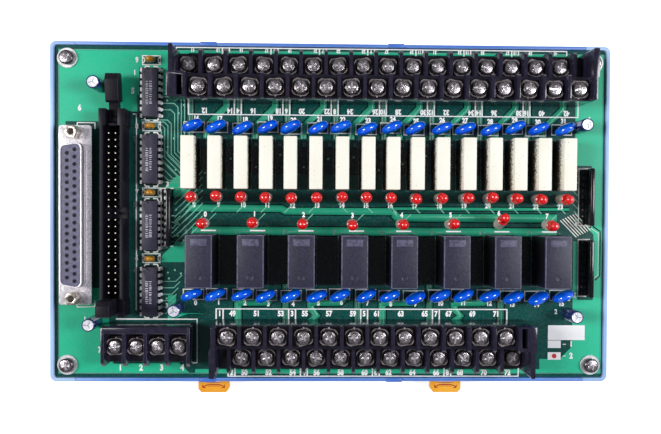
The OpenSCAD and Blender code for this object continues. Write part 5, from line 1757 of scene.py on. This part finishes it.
        # frames round the numbers of the lower block
        low_tier, high_tier = self.tiers("lower_plates")
        step = (low_tier[-1][0].x - low_tier[0][0].x) / (len(low_tier) - 1)
        for tier, line_y, near_y, numbers_y, first in (
                (high_tier, self.lower[1].y + 4.0 * MM, self.lower[1].y, self.lower[1].y + 2.1 * MM, 1),
                (low_tier, self.low.y + 0.28 * MM, self.lower[0].y, self.low.y + 1.7 * MM, 2)):
            left = tier[0][0].x - 2.2 * MM
            right = tier[-1][1].x + 0.6 * MM
            lines.append([(left, near_y), (left, line_y), (right, line_y), (right, near_y)])
            for k in range(0, len(tier), 3):
                x = (tier[k][0].x + tier[k][1].x) / 2 - step * 0.5
                lines.extend(self.side_lines(x, near_y, line_y))
                self.number(2 * (k // 3) + first, x, numbers_y, 2.1 * MM)
            for k, (low, high) in enumerate(tier):
                self.number(48 + 2 * k + first, (low.x + high.x) / 2 + 0.3 * MM, numbers_y, 2.1 * MM)
        # supply terminals: an open frame behind them and plain numbers in front
        low, high = self.supply
        lines.append([(low.x + 3 * MM, high.y + 1.1 * MM), (high.x + 1.1 * MM, high.y + 1.1 * MM),
                      (high.x + 1.1 * MM, low.y - 0.6 * MM), (high.x - 0.5 * MM, low.y - 0.6 * MM)])
        for k, (a, b) in enumerate(self.cells["supply_plates"]):
            self.number(k + 1, (a.x + b.x) / 2, low.y - 2.6 * MM, 2.3 * MM)
        # a long line beside the box header
        low, high = self.header
        lines.append([(high.x + 0.9 * MM, high.y - 1 * MM), (high.x + 2.3 * MM, high.y - 1 * MM),
                      (high.x + 2.3 * MM, low.y + 1.4 * MM)])
        # plain numbers beside the socket, the header and the supply terminals
        low, high = self.shell
        self.number(6, (low.x + high.x) / 2, high.y + 7.2 * MM, 2.2 * MM)
        self.number(5, self.header[1].x + 0.9 * MM, self.header[1].y + 8 * MM, 2.2 * MM)
        self.number(7, self.supply[0].x - 3.4 * MM, self.supply[0].y + 4.4 * MM, 2.2 * MM)
        # brackets at the socket's ends
        for y, s in ((high.y, 1), (low.y, -1)):
            lines.append([(low.x + 5.4 * MM, y + s * 0.3 * MM), (low.x + 5.4 * MM, y + s * 1.5 * MM),
                          (high.x - 0.2 * MM, y + s * 1.5 * MM), (high.x - 0.2 * MM, y - s * 1 * MM)])
        # driver circuits: bracket ends, and boxes round their capacitors
        for k, (low, high) in enumerate(self.drivers):
            x0, x1 = low.x + 1.2 * MM, high.x - 1.2 * MM
            centre = (low.x + high.x) / 2
            for y, s in ((high.y, 1), (low.y, -1)):
                lift = s * 0.9 * MM
                lines.append([(x0, y), (x0 + 0.4 * MM, y + lift), (centre - 0.7 * MM, y + lift)])
                lines.append([(centre + 0.7 * MM, y + lift), (x1 - 0.4 * MM, y + lift), (x1, y)])
            self.number(k + 1, low.x - 2.6 * MM, high.y - 1.6 * MM, 1.8 * MM, faint=k > 0)
        clear = bmesh.new()
        for k, (x, y) in enumerate(middles(solids("ceramic_capacitors"))):
            w, d = 3.5 * MM, 1.75 * MM
            slab(clear, oblong(x - w, y - d, x + w, y + d), self.top, self.etched + 0.01 * MM)
            lines.append(self.frame_lines(x - w, y - d, x + w, y + d))
            for s in (-1, 1):
                bow = []
                for i in range(7):
                    turn = math.radians(-60 + 20 * i)
                    bow.append((x + s * (4.1 - 1.5 * math.cos(turn)) * MM,
                                y + 1.35 * MM * math.sin(turn)))
                lines.append(bow)
            self.number(6 + k, x - w - 2.2 * MM, y, 2.0 * MM)
        dress(from_bmesh("capacitor_clearings", clear), BARE_MASK, "board")
        # resistor networks
        for k, (low, high) in enumerate(self.networks):
            x0 = low.x - (2.6 if low.x < 0 else 2.4) * MM
            x1 = high.x + 0.1 * MM
            lines.append([(x1, low.y), (x0, low.y), (x0, high.y), (x1, high.y)])
            self.number(2 + k, (x0 + x1) / 2 + (0 if low.x < 0 else -3.4 * MM),
                        high.y + 1.6 * MM if low.x < 0 else low.y + 0.4 * MM, 1.9 * MM)
        # relays, varistors and lamps
        for k, centre in enumerate(self.slim):
            half_y = (self.slim_box[1].y - self.slim_box[0].y) / 2
            x0, x1 = centre.x - 3.1 * MM, centre.x + 3.1 * MM
            thin.append(self.frame_lines(x0, centre.y - half_y - 0.2 * MM, x1, centre.y + half_y + 0.2 * MM))
            self.number(8 + k, centre.x - 4.6 * MM, centre.y + half_y - 2.2 * MM, 1.3 * MM, faint=True)
        for k, centre in enumerate(self.power):
            half_x = (self.power_box[1].x - self.power_box[0].x) / 2
            half_y = (self.power_box[1].y - self.power_box[0].y) / 2
            top = centre.y + half_y + 1.1 * MM
            lines.append([(centre.x - half_x * 0.3, top), (centre.x + half_x * 0.9, top)])
            thin.append(self.frame_lines(centre.x - half_x - 0.7 * MM, centre.y - half_y - 0.7 * MM,
                                         centre.x + half_x + 0.7 * MM, top - 0.4 * MM))
            self.number(k, centre.x - half_x - 2.2 * MM, top - 0.6 * MM, 1.7 * MM, faint=True)
        for k, (x, y) in enumerate(middles(in_rows(solids("varistors"), 20 * MM))):
            above = y > 0
            lines.append(self.frame_lines(x - 4.0 * MM, y - 2.0 * MM, x + 4.0 * MM, y + 2.0 * MM))
            self.number(k, x + 0.8 * MM, y + (3.4 if above else -3.4) * MM, 1.9 * MM)
        for k, (x, y) in enumerate(middles(in_rows(solids("lamp_spacers"), 1 * MM))):
            if y > 1 * MM:
                self.number(k, x + 0.2 * MM, y - 3.1 * MM, 1.9 * MM)
            else:
                self.number(k, x + 0.3 * MM, y + 3.4 * MM, 1.9 * MM)
        for k, (x, y) in enumerate(middles(solids("electrolytics"))):
            self.number(1 + k, x + (-4.6 if y < 0 else 4.6) * MM, y + (0.6 if y < 0 else 3.2) * MM, 1.8 * MM)
        self.strips("printed_lines", lines, 0.58 * MM, 0.02 * MM, SILK, self.printed)
        self.strips("printed_thin_lines", thin, 0.24 * MM, 0.02 * MM, SILK_FAINT, self.printed)
        self.labels()
        for name, work, finish in (("printed_numbers", self.marks, SILK),
                                   ("printed_faint_numbers", self.faint_marks, SILK_FAINT)):
            dress(from_bmesh(name, work), finish, "board")

    def labels(self):
        """A blank name field and two blank tick boxes, one of them marked, in the
        lower right corner."""
        work = bmesh.new()
        bottom, top = self.top + 0.02 * MM, self.printed
        x = self.high.x - 21.8 * MM
        y = self.lower[1].y - 0.2 * MM
        for width, upper, lower in ((14.8 * MM, 2.1 * MM, 8.0 * MM), (5.2 * MM, 8.2 * MM, 11.2 * MM),
                                    (5.2 * MM, 12.9 * MM, 15.9 * MM)):
            slab(work, oblong(x, y - lower, x + width, y - upper), bottom, top)
        dress(from_bmesh("blank_labels", work), LABEL_WHITE, "board")
        dot = from_bmesh("tick_dot", lathe([(0.95 * MM, 0), (0.95 * MM, 0.03 * MM)], 24))
        dress(moved(dot, Vector((x + 2.6 * MM, y - 14.4 * MM, top))), DOT_RED, "board")
        for level, text in ((9.7, 1), (14.4, 2)):
            slab(self.marks, oblong(x + 6.0 * MM, y - (level + 0.14) * MM,
                                    x + 7.3 * MM, y - (level - 0.14) * MM), bottom, top)
            self.number(text, x + 9.4 * MM, y - level * MM, 2.2 * MM)


# ------------------------------------------------------ floor, light, camera

def white_stage():
    """A pale floor that keeps the shadow, and is white to the camera."""
    half = 3.0
    level = cad_box[0].z - 0.2 * MM
    work = bmesh.new()
    work.faces.new([work.verts.new((x, y, level)) for x, y in oblong(-half, -half, half, half)])
    floor = from_bmesh("pale_floor", work)
    material = bpy.data.materials.new("pale_floor")
    material.use_nodes = True
    tree = material.node_tree
    tree.nodes.clear()
    out = tree.nodes.new("ShaderNodeOutputMaterial")
    mix = tree.nodes.new("ShaderNodeMixShader")
    rays = tree.nodes.new("ShaderNodeLightPath")
    matt = tree.nodes.new("ShaderNodeBsdfDiffuse")
    matt.inputs["Color"].default_value = (0.82, 0.82, 0.84, 1)
    glow = tree.nodes.new("ShaderNodeEmission")
    glow.inputs["Color"].default_value = (1, 1, 1, 1)
    glow.inputs["Strength"].default_value = 0.62
    added = tree.nodes.new("ShaderNodeAddShader")
    seen = sums(tree, "MAXIMUM", rays.outputs["Is Camera Ray"],
                sums(tree, "MAXIMUM", rays.outputs["Is Glossy Ray"],
                     rays.outputs["Is Transmission Ray"]))
    tree.links.new(matt.outputs[0], added.inputs[0])
    tree.links.new(glow.outputs[0], added.inputs[1])
    tree.links.new(seen, mix.inputs[0])
    tree.links.new(matt.outputs[0], mix.inputs[1])
    tree.links.new(added.outputs[0], mix.inputs[2])
    tree.links.new(mix.outputs[0], out.inputs[0])
    floor.data.materials.append(material)
    world = bpy.data.worlds.new("room")
    bpy.context.scene.world = world
    world.use_nodes = True
    nodes, links = world.node_tree.nodes, world.node_tree.links
    rays = nodes.new("ShaderNodeLightPath")
    plain = nodes["Background"]
    plain.inputs["Color"].default_value = (0.93, 0.95, 1.0, 1)
    plain.inputs["Strength"].default_value = 0.17
    white = nodes.new("ShaderNodeBackground")
    white.inputs["Color"].default_value = (1, 1, 1, 1)
    white.inputs["Strength"].default_value = 1.0
    mix = nodes.new("ShaderNodeMixShader")
    links.new(rays.outputs["Is Camera Ray"], mix.inputs[0])
    links.new(plain.outputs[0], mix.inputs[1])
    links.new(white.outputs[0], mix.inputs[2])
    links.new(mix.outputs[0], nodes["World Output"].inputs[0])


def area_light(name, place, aim, size, power, colour):
    """A rectangular light that faces the aim."""
    data = bpy.data.lights.new(name, "AREA")
    data.shape = "RECTANGLE"
    data.size, data.size_y = size
    data.energy = power
    data.color = colour
    lamp = new_object(name, data)
    lamp.location = place
    lamp.rotation_euler = (Vector(aim) - Vector(place)).to_track_quat("-Z", "Y").to_euler()


def lights():
    """Two soft boxes over the board, left and right of the camera."""
    centre = (cad_box[0] + cad_box[1]) / 2
    area_light("left_box", (centre.x - 0.60, centre.y + 0.06, 0.62), centre, (0.24, 0.34), 4.75,
               (1.0, 0.98, 0.96))
    area_light("right_box", (centre.x + 0.60, centre.y + 0.04, 0.62), centre, (0.24, 0.34), 4.35,
               (0.97, 0.98, 1.0))


def camera():
    """The camera above the board, almost square to it."""
    centre = middle("board")
    data = bpy.data.cameras.new("camera")
    data.sensor_width = 36.0
    data.lens = LENS
    data.clip_start = 0.01
    eye = new_object("camera", data)
    turn = (Matrix.Rotation(-0.0053, 3, "Z") @ Matrix.Rotation(0.0239, 3, "Y")
            @ Matrix.Rotation(0.0171, 3, "X"))
    eye.location = (centre.x - 7.213 * MM, centre.y + 3.324 * MM, BOARD_TOP + EYE_HEIGHT)
    eye.rotation_euler = turn.transposed().to_euler()
    bpy.context.scene.camera = eye


bpy.context.scene.view_settings.view_transform = "Standard"
camera()
lights()
white_stage()
carrier()
terminal_blocks()
terminal_fittings()
board_fixings()
socket()
header()
slim_relays()
power_relays()
lamps()
varistors()
cans()
drivers()
ceramic_capacitors()
resistor_networks()
paint(BARE_MASK, "board")
artwork = Artwork()
artwork.ground()
artwork.plain_mask()
artwork.edge_lines()
artwork.bands()
artwork.tracks()
artwork.vias()
artwork.prints()
